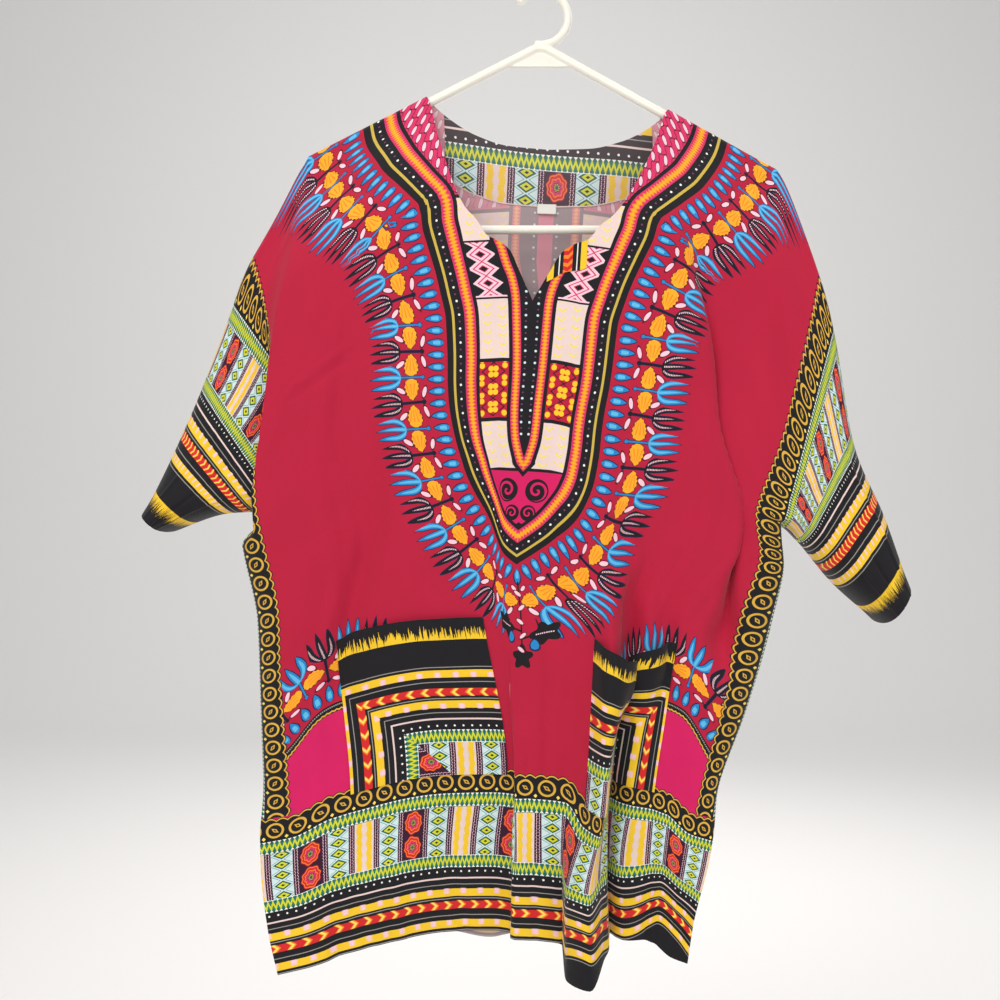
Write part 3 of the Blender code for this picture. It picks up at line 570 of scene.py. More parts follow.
def makePanel(name, grid, band, lowered, materials):
    c, fall = grid["c"], grid["fall"]
    out, far = np.abs(c), 999
    openEdge = np.minimum.reduce([
        np.where(out > cut["sideSeam"], far, cut["length"] - fall), cut["cuff"] - out,
        np.where(fall > cut["vent"], cut["sideSeam"] - out, far)])
    hem = hemming["thick"] * (1 - ease(openEdge, hemming["deep"], hemming["deep"] + hemming["soft"]))
    shift = grid["normals"] * (cut["thickness"] / 2 + hem)[..., None]
    lower = sum(amount * hump((c - middle) / width) for middle, width, amount in lowered)
    lower = lower * ease(fall, hemming["lowerFrom"], hemming["lowerFull"])
    marks = {"cloth": np.stack([c, fall, lower], axis=2), "yoke": yokeMarks(c, fall),
             "arch": archMarks(c, fall), "slit": slitMarks(c, fall, band)}
    return clothShell(name, grid["points"] + shift, grid["points"] - shift, grid["keep"], marks, materials)


def subGrid(grid, cRange, vRange):
    slack = 0.01
    columns = (grid["across"] >= cRange[0] - slack) & (grid["across"] <= cRange[1] + slack)
    rows = (grid["down"] >= vRange[0] - slack) & (grid["down"] <= vRange[1] + slack)
    part = {key: grid[key][np.ix_(rows, columns)] for key in ("points", "normals", "c", "fall")}
    return part | {"v": grid["down"][rows][:, None] + 0 * part["c"],
                   "keep": np.ones((rows.sum() - 1, columns.sum() - 1), bool)}


# c from inner to outer edge, v from mouth to foot; gape is how far the mouth stands open
pocketSizes = {
    "inner": 57,
    "outer": 205,
    "top": 491,
    "low": 640,
    "gape": {-1: 3.0, 1: 13},
    "sag": {-1: 3.0, 1: 30},
    "reach": 0.75,
    "puff": 1.0,
    "ripple": 0.5,
    "clear": 0.12,
    "turnedTop": 14,
    "turnedSide": 7,
    "thick": 0.7,
    "turnedThick": 0.5,
}


def makePocket(name, grid, side, materials):
    p = pocketSizes
    low, high = sorted((side * p["inner"], side * p["outer"]))
    part = subGrid(grid, (low, high), (p["top"], p["low"]))
    c, v, width = part["c"], part["v"], p["outer"] - p["inner"]
    t = (np.abs(c) - p["inner"]) / width
    down = (v - p["top"]) / (p["low"] - p["top"])
    edge = np.minimum.reduce([t, 1 - t, 1 - down]) * width
    mouth = 1 - ease(down / p["reach"])
    lift = p["gape"][side] * np.sin(np.pi * t) * mouth + p["puff"] * ease(edge / 12)
    lift = lift + p["ripple"] * np.sin(c / 17) * ease(edge / 20) * ease(down * 3)
    near = part["points"] + part["normals"] * (cut["thickness"] / 2 + p["clear"] + lift)[..., None]
    near[..., 2] -= p["sag"][side] * np.sin(np.pi * t) ** 2 * mouth
    normals = sheetNormals(near, part["keep"], -1)
    past = np.minimum(v - p["top"] - p["turnedTop"], edge - p["turnedSide"])
    turned = 1 - ease(past / hemming["soft"])
    far = near + normals * (p["thick"] + p["turnedThick"] * turned)[..., None]
    place = np.stack([np.abs(c), v, edge], axis=2)
    return clothShell(name, far, near, part["keep"], {"pocket": place}, materials)


# shares: c and how much of the depth is kept there
facings = {
    "clear": 0.15,
    "thick": 0.7,
    "neck": {"c": (-100, 100), "v": (0, 58), "shares": [(0, 1), (500, 1)]},
    "slit": {"c": (11.4, 45.6), "v": (0, 40.3),
             "shares": [(11.4, 0.24), (15, 0.45), (19, 0.68), (25, 0.84), (36, 1), (46, 1)]},
}


def makeFacing(name, grid, sizes, side, material):
    part = subGrid(grid, sizes["c"], sizes["v"])
    v = part["v"]
    kept = np.interp(np.abs(part["c"]), column(sizes["shares"], 0), column(sizes["shares"], 1))
    fields = np.dstack([part["points"], part["normals"], part["fall"]])
    for j in range(fields.shape[1]):
        for k in range(fields.shape[2]):
            fields[:, j, k] = np.interp(v[:, j] * kept[:, j], v[:, j], fields[:, j, k])
    out = fields[..., 3:6] * side
    near = fields[..., :3] + out * (cut["thickness"] / 2 + facings["clear"])
    place = np.stack([part["c"], fields[..., 6], v], axis=2)
    far = near + out * facings["thick"]
    return clothShell(name, far, near, part["keep"], {"facing": place}, [material])


label = {"width": 18, "height": 9, "tuck": 3, "thick": 0.5, "clear": 1.25, "bow": 0.9, "twist": 0.35}


def makeLabel(grid, material):
    i = int(np.argmin(np.abs(grid["down"] - facings["neck"]["v"][1])))
    j = int(np.argmin(np.abs(grid["across"])))
    point, normal = grid["points"][i, j], -grid["normals"][i, j]
    right = unit(grid["points"][i, j + 3] - grid["points"][i, j - 3])
    drop = np.cross(normal, right)
    drop = drop * (-1 if drop[2] > 0 else 1)
    start = point + normal * (cut["thickness"] / 2 + label["clear"]) - drop * label["tuck"]
    s, t = np.meshgrid(np.linspace(-0.5, 0.5, 19), np.linspace(0, 1, 12))
    bow = label["bow"] * t * t + label["twist"] * np.sin(3 * s + 1) * t
    place = np.dstack([s * label["width"], t * label["height"], 0 * t])
    near = start + place[..., :1] * right + place[..., 1:2] * drop + bow[..., None] * normal
    return clothShell("backLabel", near + normal * label["thick"], near, np.ones((11, 18), bool),
                      {"tape": place}, [material])


def tubePiece(name, path, radius, closed):
    # path holds (x, z) points in millimetres
    curve = bpy.data.curves.new(name, "CURVE")
    curve.dimensions = "3D"
    curve.bevel_depth = radius * mm
    curve.bevel_resolution = 6
    curve.use_fill_caps = True
    spline = curve.splines.new("POLY")
    spline.points.add(len(path) - 1)
    for point, (x, z) in zip(spline.points, path):
        point.co = (x * mm, 0, z * mm, 1)
    spline.use_cyclic_u = closed
    return put(name, curve)


def roundedPath(points, radii, steps=12):
    path = []
    for k, (corner, radius) in enumerate(zip(points, radii)):
        corner = np.array(corner, float)
        before, after = [unit(np.array(points[n % len(points)], float) - corner) for n in (k - 1, k + 1)]
        half = math.acos(np.clip(before @ after, -1, 1)) / 2
        centre = corner + unit(before + after) * radius / math.sin(half)
        start, end = [corner + way * radius / math.tan(half) - centre for way in (before, after)]
        turn = math.copysign(math.pi - 2 * half, start[0] * end[1] - start[1] * end[0])
        for n in range(steps + 1):
            cosine, sine = math.cos(turn * n / steps), math.sin(turn * n / steps)
            path.append(centre + np.array([start[0] * cosine - start[1] * sine,
                                           start[0] * sine + start[1] * cosine]))
    return path


def makeHanger(material):
    # tube, hook and web are fused by a remesh, as one moulding
    s = hangerSizes
    arm, inset, radius = s["armReach"], s["barInset"], s["hookRadius"]

    def armZ(x):
        return -apexDrop - s["armSlope"][-1 if x < 0 else 1] * abs(x)

    points = [(0, armZ(0)), (-arm, armZ(-arm)), (-arm + inset, s["barZ"]),
              (arm - inset, s["barZ"]), (arm, armZ(arm))]
    rounded = roundedPath(points, [s["topRadius"]] + [s["endRadius"]] * 4)
    loop = tubePiece("hanger loop", rounded, s["tube"], True)
    turns = np.radians(np.linspace(-90, s["hookEnd"], 49))
    path = np.stack([radius * np.cos(turns), radius * np.sin(turns) + s["hookTube"] - radius], axis=1)
    hook = tubePiece("hanger hook", [path[0] + s["hookFoot"], *path], s["hookTube"], False)
    tip = bmesh.new()
    bmesh.ops.create_uvsphere(tip, u_segments=24, v_segments=12, radius=s["hookTube"] * s["tipShare"] * mm)
    bmesh.ops.translate(tip, verts=tip.verts, vec=(path[-1][0] * mm, 0, path[-1][1] * mm))
    low = armZ(0) - s["webDepth"]
    outline = [(0, armZ(0) - s["webTop"]), (-s["webHalf"][0], low), (s["webHalf"][1], low)]
    sides = [[tip.verts.new((x * mm, y * s["webThick"] / 2 * mm, z * mm)) for x, z in outline]
             for y in (-1, 1)]
    tip.faces.new(sides[0])
    tip.faces.new(sides[1][::-1])
    for n, m in ((0, 1), (1, 2), (2, 0)):
        tip.faces.new((sides[0][m], sides[0][n], sides[1][n], sides[1][m]))
    bmesh.ops.recalc_face_normals(tip, faces=tip.faces)
    graph = bpy.context.evaluated_depsgraph_get()
    for curve in (loop, hook):
        tip.from_mesh(curve.evaluated_get(graph).to_mesh())
        bpy.data.objects.remove(curve, do_unlink=True)
    mesh = bpy.data.meshes.new("hanger")
    tip.to_mesh(mesh)
    tip.free()
    hanger = put("hangerMoulding", mesh)
    remesh = hanger.modifiers.new("fuse", "REMESH")
    remesh.mode = "VOXEL"
    remesh.voxel_size = s["voxel"] * mm
    remesh.use_smooth_shade = True
    smooth = hanger.modifiers.new("soften", "SMOOTH")
    smooth.factor = 0.5
    smooth.iterations = 4
    mesh = bpy.data.meshes.new_from_object(hanger.evaluated_get(bpy.context.evaluated_depsgraph_get()))
    hanger.modifiers.clear()
    hanger.data = mesh
    mesh.shade_smooth()
    mesh.materials.append(material)
    return hanger


def colour(red, green, blue):
    # from 0-255 display values
    return tuple(((v / 255 + 0.055) / 1.055) ** 2.4 if v > 10 else v / 255 / 12.92
                 for v in (red, green, blue)) + (1,)


inks = {name: colour(*shade) for name, shade in {
    "crimson": (178, 18, 54), "magenta": (206, 20, 92), "black": (17, 15, 20), "plum": (50, 14, 40),
    "yellow": (238, 194, 40), "paleYellow": (244, 218, 96), "gold": (214, 168, 62),
    "dullGold": (196, 168, 70), "orange": (240, 128, 30), "red": (206, 34, 36), "blue": (34, 128, 192),
    "paleBlue": (92, 180, 222), "navy": (18, 26, 66), "pink": (240, 196, 208), "deepPink": (206, 44, 96),
    "cream": (226, 202, 196), "teal": (30, 128, 116), "darkGreen": (18, 84, 70), "lime": (204, 208, 48),
    "ice": (204, 222, 224), "grey": (150, 146, 140), "white": (238, 236, 230), "maroon": (92, 12, 32),
    "amber": (244, 166, 34), "mauve": (112, 56, 96), "faded": (238, 216, 220), "tape": (233, 231, 224),
    "tapeEdge": (206, 203, 196), "ivory": (232, 228, 214), "paleIvory": (240, 237, 226),
}.items()}


def operator(operation, turned=False):
    # turned: the wire is the second term
    def work(self, *others):
        return reckon(operation, *others, self) if turned else reckon(operation, self, *others)
    return work


class Wire:
    # an output of the shader tree that can be used in sums

    def __init__(self, tree, socket):
        self.tree, self.socket = tree, socket

    def __neg__(self):
        return self * -1

    __add__ = __radd__ = operator("ADD")
    __mul__ = __rmul__ = operator("MULTIPLY")
    __sub__, __rsub__ = operator("SUBTRACT"), operator("SUBTRACT", turned=True)
    __truediv__, __rtruediv__ = operator("DIVIDE"), operator("DIVIDE", turned=True)
    __gt__, __lt__, __or__ = operator("GREATER_THAN"), operator("LESS_THAN"), operator("MAXIMUM")
    __abs__ = operator("ABSOLUTE")


def setSockets(tree, node, values):
    for key, value in values.items():
        if isinstance(value, Wire):
            tree.links.new(value.socket, node.inputs[key])
        else:
            node.inputs[key].default_value = value


def addNode(tree, kind, settings=None, values=None):
    # gives the outputs of the new node
    node = tree.nodes.new("ShaderNode" + kind)
    for key, value in (settings or {}).items():
        if key == "stops":
            node.color_ramp.interpolation = "CONSTANT"
            stops = node.color_ramp.elements
            while len(stops) < len(value):
                stops.new(1)
            for stop, (place, ink) in zip(stops, value):
                stop.position, stop.color = place, inks[ink]
        else:
            setattr(node, key, value)
    setSockets(tree, node, values or {})
    return [Wire(tree, output) for output in node.outputs]


def reckon(operation, *terms, clamp=False):
    tree = next(term.tree for term in terms if isinstance(term, Wire))
    return addNode(tree, "Math", {"operation": operation, "use_clamp": clamp}, dict(enumerate(terms)))[0]


def lesser(one, other):
    return reckon("MINIMUM", one, other)


def near(value, place, half):
    # 1 within half of the place
    return reckon("COMPARE", value, place, half)


def cell(value, pitch):
    # signed distance to the middle of the nearest cell
    return reckon("WRAP", value, pitch / 2, -pitch / 2)


def fold(value, half):
    return reckon("PINGPONG", value, half)


def wave(value, pitch):
    return reckon("SINE", value * (math.tau / pitch))


def reach(x, y):
    return reckon("SQRT", x * x + y * y)


def bulge(value):
    # a half circle over -1 to 1
    return reckon("SQRT", (1 - value * value) | 0.0)


def odd(value, pitch):
    # 1 in every second cell
    return fold(reckon("ROUND", value / pitch), 1) > 0.5


def mixed(tree, share, under, over):
    under, over = [inks[shade] if isinstance(shade, str) else shade for shade in (under, over)]
    return addNode(tree, "Mix", {"data_type": "RGBA"}, {0: share, 6: under, 7: over})[2]


def lay(under, *coats):
    # each coat is a mask and the ink or drawing that shows where it is 1
    for mask, over in coats:
        under = mixed(mask.tree, mask, under, over)
    return under


def stripes(value, length, stops):
    # stops hold a place in millimetres and an ink
    stops = [(place / length, ink) for place, ink in stops]
    return addNode(value.tree, "ValToRGB", {"stops": stops}, {0: value / length})[0]


def splitMark(tree, name):
    vector = addNode(tree, "Attribute", {"attribute_name": name})[1]
    return addNode(tree, "SeparateXYZ", None, {0: vector})


def noise(tree, vector, scale, detail=2.0):
    return addNode(tree, "TexNoise", None, {"Vector": vector, "Scale": scale, "Detail": detail})[0]


def spot(tree, x, y):
    return addNode(tree, "CombineXYZ", None, {0: x, 1: y})[0]


def stitched(distance, row, along):
    return near(distance, row, 0.35) * (fold(along, 1.5) > 0.5)


# rows are distances out from the border's inner edge; stripes hold where each ink starts
border = {
    "end": 204,
    "scallop": {"pitch": 19.2, "deep": 2.4, "line": 1.6},
    "rings": {"pitch": 19.3, "row": 13.3, "radius": 6.7, "leaf": 3.9, "starRow": 20.6},
    "zigzags": {"row": 30, "apart": 58.7, "pitch": 4.3, "steep": 2.8, "half": 6.2, "end": 96},
    "blocks": {"pitch": 24.1, "row": 59.9, "half": 23.2, "medallion": 11.7, "bar": 9.2, "beads": 10.9},
    "dots": {"pitch": 8.0, "row": 98.7},
    "broken": {"row": 28.5, "apart": 30, "half": 3.5, "pitch": 17.2},
    "chevrons": {"pitch": 14, "row": 130.7, "half": 3.7},
    "brushed": (181, 187.5),
    "stripes": [
        (0, "black"), (23.7, "darkGreen"), (36.4, "ice"), (83.0, "darkGreen"), (94.4, "black"),
        (104, "cream"), (105.4, "black"), (110, "grey"), (111, "black"), (115, "yellow"), (122, "black"),
        (124, "grey"), (125, "black"), (127, "red"), (134.5, "black"), (139.5, "grey"), (140.5, "black"),
        (145, "yellow"), (152, "black"), (154, "grey"), (155, "black"),
    ],
    "diamond": [(0, "black"), (2.2, "lime"), (6.2, "black"), (7.8, "teal"), (9.2, "ice"), (11.8, "teal"),
                (12.8, "ice")],
    "medallion": [(0, "darkGreen"), (1.6, "dullGold"), (2.4, "plum"), (3.2, "deepPink"), (5.6, "orange"),
                  (6.4, "red"), (8.4, "orange"), (9.2, "crimson"), (10, "plum")],
}


def drawBorder(e, t, under):
    # e is the distance out from the border's inner edge, t the place along it
    shown = stripes(e, border["end"], border["stripes"])

    # rings between the scalloped line and the first zigzag
    rings = border["rings"]
    u, w = cell(t, rings["pitch"]), e - rings["row"]
    leaf = abs(u * 0.8 + w * 0.6) + abs(u * 0.6 - w * 0.8) * 2.1
    star = abs(cell(t + rings["pitch"] / 2, rings["pitch"])) + abs(e - rings["starRow"]) * 0.9
    shown = lay(shown, (near(reach(u, w), rings["radius"], 1.0), "gold"), (leaf < rings["leaf"], "gold"),
                (leaf < 1.7, "black"), (star < 1.7, "paleYellow"))

    # two zigzags
    zigzags = border["zigzags"]
    w = cell(e - zigzags["row"], zigzags["apart"])
    quarter = zigzags["pitch"] / 4
    zig = abs(w - (fold(t, 2 * quarter) - quarter) * zigzags["steep"])
    inZig = near(w, 0, zigzags["half"]) * (e < zigzags["end"])
    tooth = (abs(w) - 4.1) * 0.8 - abs(cell(t + 2 * quarter * (w > 0), zigzags["pitch"]))
    shown = lay(shown, (inZig * (zig < 5.4), "teal"), (inZig * (zig < 3.7), "darkGreen"),
                (inZig * (zig < 2.3), "lime"), (inZig * (tooth > 0), "white"))

    # blocks: wavy columns, stacked diamonds, stacked medallions
    blocks = border["blocks"]
    k = reckon("ROUND", t / blocks["pitch"])
    x, y = t - k * blocks["pitch"], e - blocks["row"]
    inBlocks = near(y, 0, blocks["half"])
    kind = reckon("FLOORED_MODULO", k, 4.0)
    diamond = (abs(x) / 8.4 + abs(cell(y, 10.4)) / 5.2) * 10
    rib = near(abs(x), 4.7 + 0.5 * wave(y, 9.4), 2.0 + 0.7 * abs(wave(y, 4.7)))
    oval = abs(y) - blocks["medallion"]
    petals = 0.55 * wave(reckon("ARCTAN2", oval, x), math.tau / 8)
    medallion = reach(x / 8.4, oval / 10.9) * 10 + petals
    beads = near(abs(x), blocks["beads"] + 0.25 * wave(y, 3.1), 0.32) * (fold(y, 0.8) > 0.25)
    shown = lay(shown, (inBlocks * (fold(k, 1) > 0.5), stripes(diamond, 20, border["diamond"])),
                (inBlocks * (kind < 0.5), lay("cream", (rib, "yellow"))),
                (inBlocks * near(kind, 2.0, 0.4), stripes(medallion, 16, border["medallion"])),
                (inBlocks * (abs(x) > blocks["bar"]), "plum"), (inBlocks * beads, "pink"))

    # dotted row, broken stripes, chevrons
    dots, broken, chevrons = border["dots"], border["broken"], border["chevrons"]
    dot = reach(cell(t, dots["pitch"]), e - dots["row"])
    row = near(reckon("FLOORED_MODULO", e, broken["apart"]), broken["row"], broken["half"])
    row = row * near(e, 130, 30)
    patch = reckon("MULTIPLY", fold(t, broken["pitch"] / 2) - 5.0, 0.45, clamp=True)
    inRed = near(e, chevrons["row"], chevrons["half"])
    chevron = reckon("WRAP", t + abs(e - chevrons["row"]) * 1.1, chevrons["pitch"], 0.0)
    shown = lay(shown, (dot < 0.95, "white"), (row * patch, "pink"), (inRed * (chevron < 5.4), "orange"),
                (inRed * near(chevron, 2.4, 1.3), "paleYellow"))

    # brushed band before the plain black end, then the scalloped line that ends the border
    streak = (noise(e.tree, spot(e.tree, t * 0.8, e * 0.03), 1.0, 3.0) - 0.5) * 40
    start, end = border["brushed"]
    scallop = border["scallop"]
    rim = e + scallop["deep"] * abs(wave(t, scallop["pitch"])) - scallop["deep"]
    shown = lay(shown, ((e > start) * (e < end + streak), "yellow"),
                (near(rim, scallop["line"], 0.65) * (e < 12), "gold"))
    return lay(under, (rim > 0, shown))


# bands go by depth inside the yoke's edge, panels by depth below the shoulder
yokePrint = {
    "tip": 450,
    "bandsEnd": 33,
    "bands": [(0, "black"), (6.2, "dullGold"), (8.6, "black"), (18.5, "deepPink"), (29.5, "black")],
    "panels": [
        (0, "deepPink"), (94.5, "black"), (97.5, "cream"), (138, "black"), (141, "pink"),
        (191, "black"), (194, "cream"), (248.5, "black"), (252.5, "crimson"), (303, "black"),
        (306, "cream"), (350, "black"),
    ],
    "petals": {"row": 38.5, "pitch": 11.0, "end": 93},
    # middle and half height of each panel
    "creamPanels": [(117.75, 19), (221.25, 26), (328, 20.5)],
    "columns": {"from": 12.5, "pitch": 13.3, "rise": 8.5},
    "latticePanel": (166, 25),
    "diamonds": {"wide": 9.4, "tall": 13.5},
    "lattice": [(0, "black"), (2.7, "deepPink"), (3.7, "pink"), (6.2, "deepPink"), (7.5, "pink"),
                (10.4, "black")],
    "lobePanel": (277.75, 25.25),
    "lobes": {"row": 278, "wide": 11, "tall": 16.4},
    "scrollPanel": (380.75, 27.25),
    # middle's distance from the centre line, its depth, and the radius
    "scrolls": [(14.5, 371, 11), (8, 392, 7.5)],
    "beads": {"pitch": 11.0, "end": 322},
    "studs": {"row": 13.6, "pitch": 13.0},
    "rope": {"row": 24, "pitch": 3.4},
}


def drawYoke(c, fall, edge, p, under):
    # p is the distance out from the middle of the slit's band
    look = yokePrint
    d, s, lean = edge
    b, half = -d, abs(c)
    level = fall - 0.1 * lesser((half - 25) | 0.0, 70)
    inner = stripes(level, 440, look["panels"])

    # petals in the pink strip
    petals, pitch = look["petals"], look["petals"]["pitch"]
    row = cell(b - petals["row"], pitch)
    along = cell(s - 40 * lean + pitch / 2 * odd(b - petals["row"], pitch), pitch)
    seed = reach((along + row) / 6.8, (row - along) / 2.3)
    lines = near(abs(along) * 0.8 + abs(row), 7.4, 0.35)
    inStrip = level < petals["end"]
    inner = lay(inner, (((seed < 1.3) | lines) * inStrip, "maroon"), ((seed < 1.0) * inStrip, "pink"))

    # marks in two columns in the cream panels
    columns = look["columns"]
    creamy = sum(near(level, *panel) for panel in look["creamPanels"])
    mark = abs(cell(p - columns["from"], columns["pitch"]))
    rise = cell(level + mark * 0.8 + 3 * odd(p - columns["from"], columns["pitch"]), columns["rise"])
    inner = lay(inner, (creamy * (abs(rise) < 0.95) * (mark < 3.8), "paleYellow"))

    # one column of diamonds, then one of lobed shapes; x runs from the middle of the panel
    x = abs((p - b + 25.9) / 2)
    diamonds, inLattice = look["diamonds"], near(level, *look["latticePanel"])
    start, tall = look["latticePanel"][0], diamonds["tall"]
    net = (x / diamonds["wide"] + abs(cell(level - start, tall)) / (tall / 2)) * 7
    lobes, inLobes = look["lobes"], near(level, *look["lobePanel"])
    w = cell(level - lobes["row"], lobes["tall"])
    grid = x / lobes["wide"] + abs(w) / (lobes["tall"] / 2)
    beside = abs(cell(w + lobes["tall"] / 2, lobes["tall"]))
    blob = lesser(reach(x - 2.3, abs(w) - 2.7), reach(x - lobes["wide"], beside - 2.7))
    inner = lay(inner, (inLattice, stripes(net, 14, look["lattice"])),
                (inLobes * near(grid, 1.0, 0.075), "black"), (inLobes * (blob < 3.3), "red"),
                (inLobes * (blob < 2.6), "yellow"))

    # scrolls near the tip
    inScroll = near(fall, *look["scrollPanel"])
    inner = lay(inner, (inScroll, "magenta"))
    for aside, below, size in look["scrolls"]:
        x, y = half - aside, fall - below
        r = reach(x, y)
        curl = wave(r - reckon("ARCTAN2", y, x) * (size / 1.6 / math.tau), size / 1.6)
        scroll = lay("black", ((curl > 0.45) * (r < size - 1.4), "magenta"))
        inner = lay(inner, (inScroll * (r < size), scroll))
    inner = lay(inner, (near(fall - 0.7 * half, 404, 3.5) * inScroll, "black"))

    # the band round the slit and what lies inside it
    beads, rope = look["beads"], look["rope"]
    teeth = inLattice * (5 - 0.74 * fold(level - (start - tall / 2), tall / 2))
    inside = p < -3.8
    centre = 7.3 * lesser((196 - fall) / 50, 1.0)
    strung = inside * (fall < beads["end"])
    q = 0.62 * half + 0.38 * p
    bead, small = [reach(q, cell(fall + n * beads["pitch"], beads["pitch"])) for n in (0, 0.5)]
    core = 2.2 + 0.9 * wave(fall, rope["pitch"]) - abs(p)
    inner = lay(inner, (p < 7.1 + teeth, "black"), (inside * (half < centre), "deepPink"),
                (strung * (bead < 1.15), "ice"), (strung * (small < 0.8), "mauve"),
                (near(p, 0.0, 3.8), "deepPink"), (core > 0, "orange"), (core > 1.3, "amber"))

    # bands along the yoke's edge
    studs, place = look["studs"], s - 14 * lean
    stud, small = [reach(cell(place + n * studs["pitch"], studs["pitch"]), b - studs["row"])
                   for n in (0, 0.5)]
    core = 2.9 + 1.1 * wave(place, rope["pitch"]) - abs(b - rope["row"])
    shown = lay(inner, (b < look["bandsEnd"], stripes(b, 40, look["bands"])), (stud < 1.1, "white"),
                (small < 0.9, "mauve"), (core > 0, "orange"), (core > 1.4, "amber"))
    return lay(under, ((b > 0) * (fall < look["tip"]), shown))


# rows are distances out from the edge that the motifs stand on
sprays = {
    "drops": {"pitch": 11.2, "row": 11.2, "half": 8.2, "glint": (9.6, 3.4)},
    "stems": {"pitch": 48.0, "blossom": 34.5, "knob": 23.8, "foot": 45, "curve": 13.0, "spread": 8.4},
}


def drawArches(d, s, under):
    # the fields beside the pockets, under their arches
    b = -d
    trim = b - 6.2 - 0.9 * abs(wave(s, 9.6))
    shown = lay("magenta", (b < 8.4, "black"), (near(b, 2.4, 0.7) * (fold(s, 0.9) > 0.35), "grey"),
                (near(trim, 0, 0.75), "gold"))
    return lay(under, (b > 0, shown))


def drawSprays(d, s, lean, c, under):
    # drops, then sprigs with blossoms between them, standing out from an edge
    drops = sprays["drops"]
    u = cell(s + 11 * lean, drops["pitch"])
    q = (d - drops["row"]) / drops["half"]
    plump = bulge(q) * (3.9 - 1.5 * q) - abs(u)
    shown = lay(under, (plump > 0.0, "navy"), (plump > 1.0, "blue"),
                ((plump > 2.3) * near(d, *drops["glint"]), "paleBlue"))

    # petals and blossoms flank every second stem
    stems = sprays["stems"]
    place = s + 43 * lean
    away = abs(cell(place, stems["pitch"]))
    inner = reach((away - 9.2) / 6.8, (d - 22.6 + (away - 9.2) * 0.25) / 2.6)
    tilt, rise = (away - 12.0) * 0.8 - (d - 45.0) * 0.6, (away - 12.0) * 0.6 + (d - 45.0) * 0.8
    petals = lesser(inner, reach(rise / 6.4, tilt / 2.8))
    q, above = (away - 12.4) / 10.4, d - stems["blossom"]
    ray = reckon("ARCTAN2", above, away + 1.0)
    bloom = bulge(q) * (6.9 + 2.2 * q) + 0.5 * wave(away + d * 0.5, 4.3) - abs(above)
    streaks = near(wave(ray, 0.21), 0.85, 0.28) * near(away, 12.0, 5.8)
    shown = lay(shown, (petals < 1.0, "maroon"), (petals < 0.72, "pink"), (bloom > 0.0, "maroon"),
                (bloom > 0.8, "amber"), ((bloom > 1.6) * streaks, "orange"))

    # each stem opens into two side sprigs and a middle one
    u, blue = cell(place, stems["pitch"] / 2), odd(place, stems["pitch"] / 2)
    foot, curve = stems["foot"], stems["curve"]
    knob = 2.4 - reach(u, d - stems["knob"])
    stem = (1.5 - abs(u)) * near(d, 35, 12)
    u = u - 0.16 * ((d - foot - 1) | 0.0)
    climb = lesser((d - foot) | 0.0, curve) / curve
    bow = stems["spread"] * reckon("SQRT", climb * (2 - climb))
    taper = (d - foot) / 30
    width = 3.4 - 3.2 * taper * taper * taper
    side = (width - abs(abs(u) - bow)) * near(d, 59, 14.6)
    middle = (width - abs(u * 1.1)) * near(d, 61, 15.5)
    # the stem at the very tip gives way to the leaves below it
    shape = (knob | stem | side | middle) * ((abs(place) > 11) | (abs(c) > 60))
    core = (shape > 2.1) * (d > foot - 1)
    dashes = (shape > 2.5) * (d > foot + 1) * (1 - blue) * (fold(d, 0.7) > 0.3)
    return lay(shown, (shape > 0.02, "navy"), (shape > 0.7, lay("black", (blue, "blue"))),
               (core * blue, "paleBlue"), (dashes, "pink"))


# places are c and v; the right side of the column hangs a little lower
leaves = {
    "lower": 7,
    "pair": (20.5, 495),
    "single": (0, 526),
    "buds": (12, 507),
    "petals": {"from": 481, "pitch": 13.0},
}


def drawLeaves(c, fall, under):
    # leaves, buds and petals in a column below the yoke's tip
    (pairC, pairV), singleV, (budC, budV) = leaves["pair"], leaves["single"][1], leaves["buds"]
    u, v = abs(c), fall - leaves["lower"] * (c > 0)
    slope = v - pairV + 0.35 * (u - pairC)
    sides = ((slope, u - pairC, 9, 11), (c, fall - singleV, 9, 10))
    leaf = lesser(*[reach(x / wide, y / tall) + 0.22 * wave(reckon("ARCTAN2", y, x), math.tau / 5)
                    for x, y, wide, tall in sides])
    stalk = near(slope, 0.0, 1.0) * (u < 14) | near(u, 0.0, 0.8) * near(fall, 488, 42)
    vein = near(slope, 0.0, 0.6) * near(u, 20, 7) * (fold(u, 0.8) > 0.3)
    bud = reach((u - budC) / (4.6 + 0.25 * (v - budV)), (v - budV) / 6.2)
    start, pitch = leaves["petals"]["from"], leaves["petals"]["pitch"]
    w, side = cell(fall - start, pitch), 1 - 2 * odd(fall - start, pitch)
    petal = reach((w * 0.8 + c * side * 0.6) / 2.1, (c * side * 0.8 - w * 0.6 - 1.5) / 5.2)
    petal = petal + 9 * (1 - near(fall, 493, 31))
    return lay(under, (stalk, "black"), (leaf < 1.0, "black"), (vein, "pink"), (bud < 1.0, "navy"),
               (bud < 0.75, "blue"), (petal < 1.0, "maroon"), (petal < 0.75, "pink"))


weave = {"pitch": 0.9, "grain": 0.9, "drift": 0.016, "shade": 0.86, "dent": 2.2, "strength": 0.35,
         "depth": 0.0002}
cotton = {"Roughness": 0.82, "Sheen Weight": 0.1, "Sheen Roughness": 0.5, "Specular IOR Level": 0.3}
plastic = {"Roughness": 0.28, "Coat Weight": 0.3, "Coat Roughness": 0.15, "Subsurface Weight": 0.08,
           "Subsurface Scale": 0.004}


def newMaterial(name, values=None):
    material = bpy.data.materials.new(name)
    material.use_nodes = True
    tree = material.node_tree
    setSockets(tree, tree.nodes["Principled BSDF"], values or {})
    return material, tree


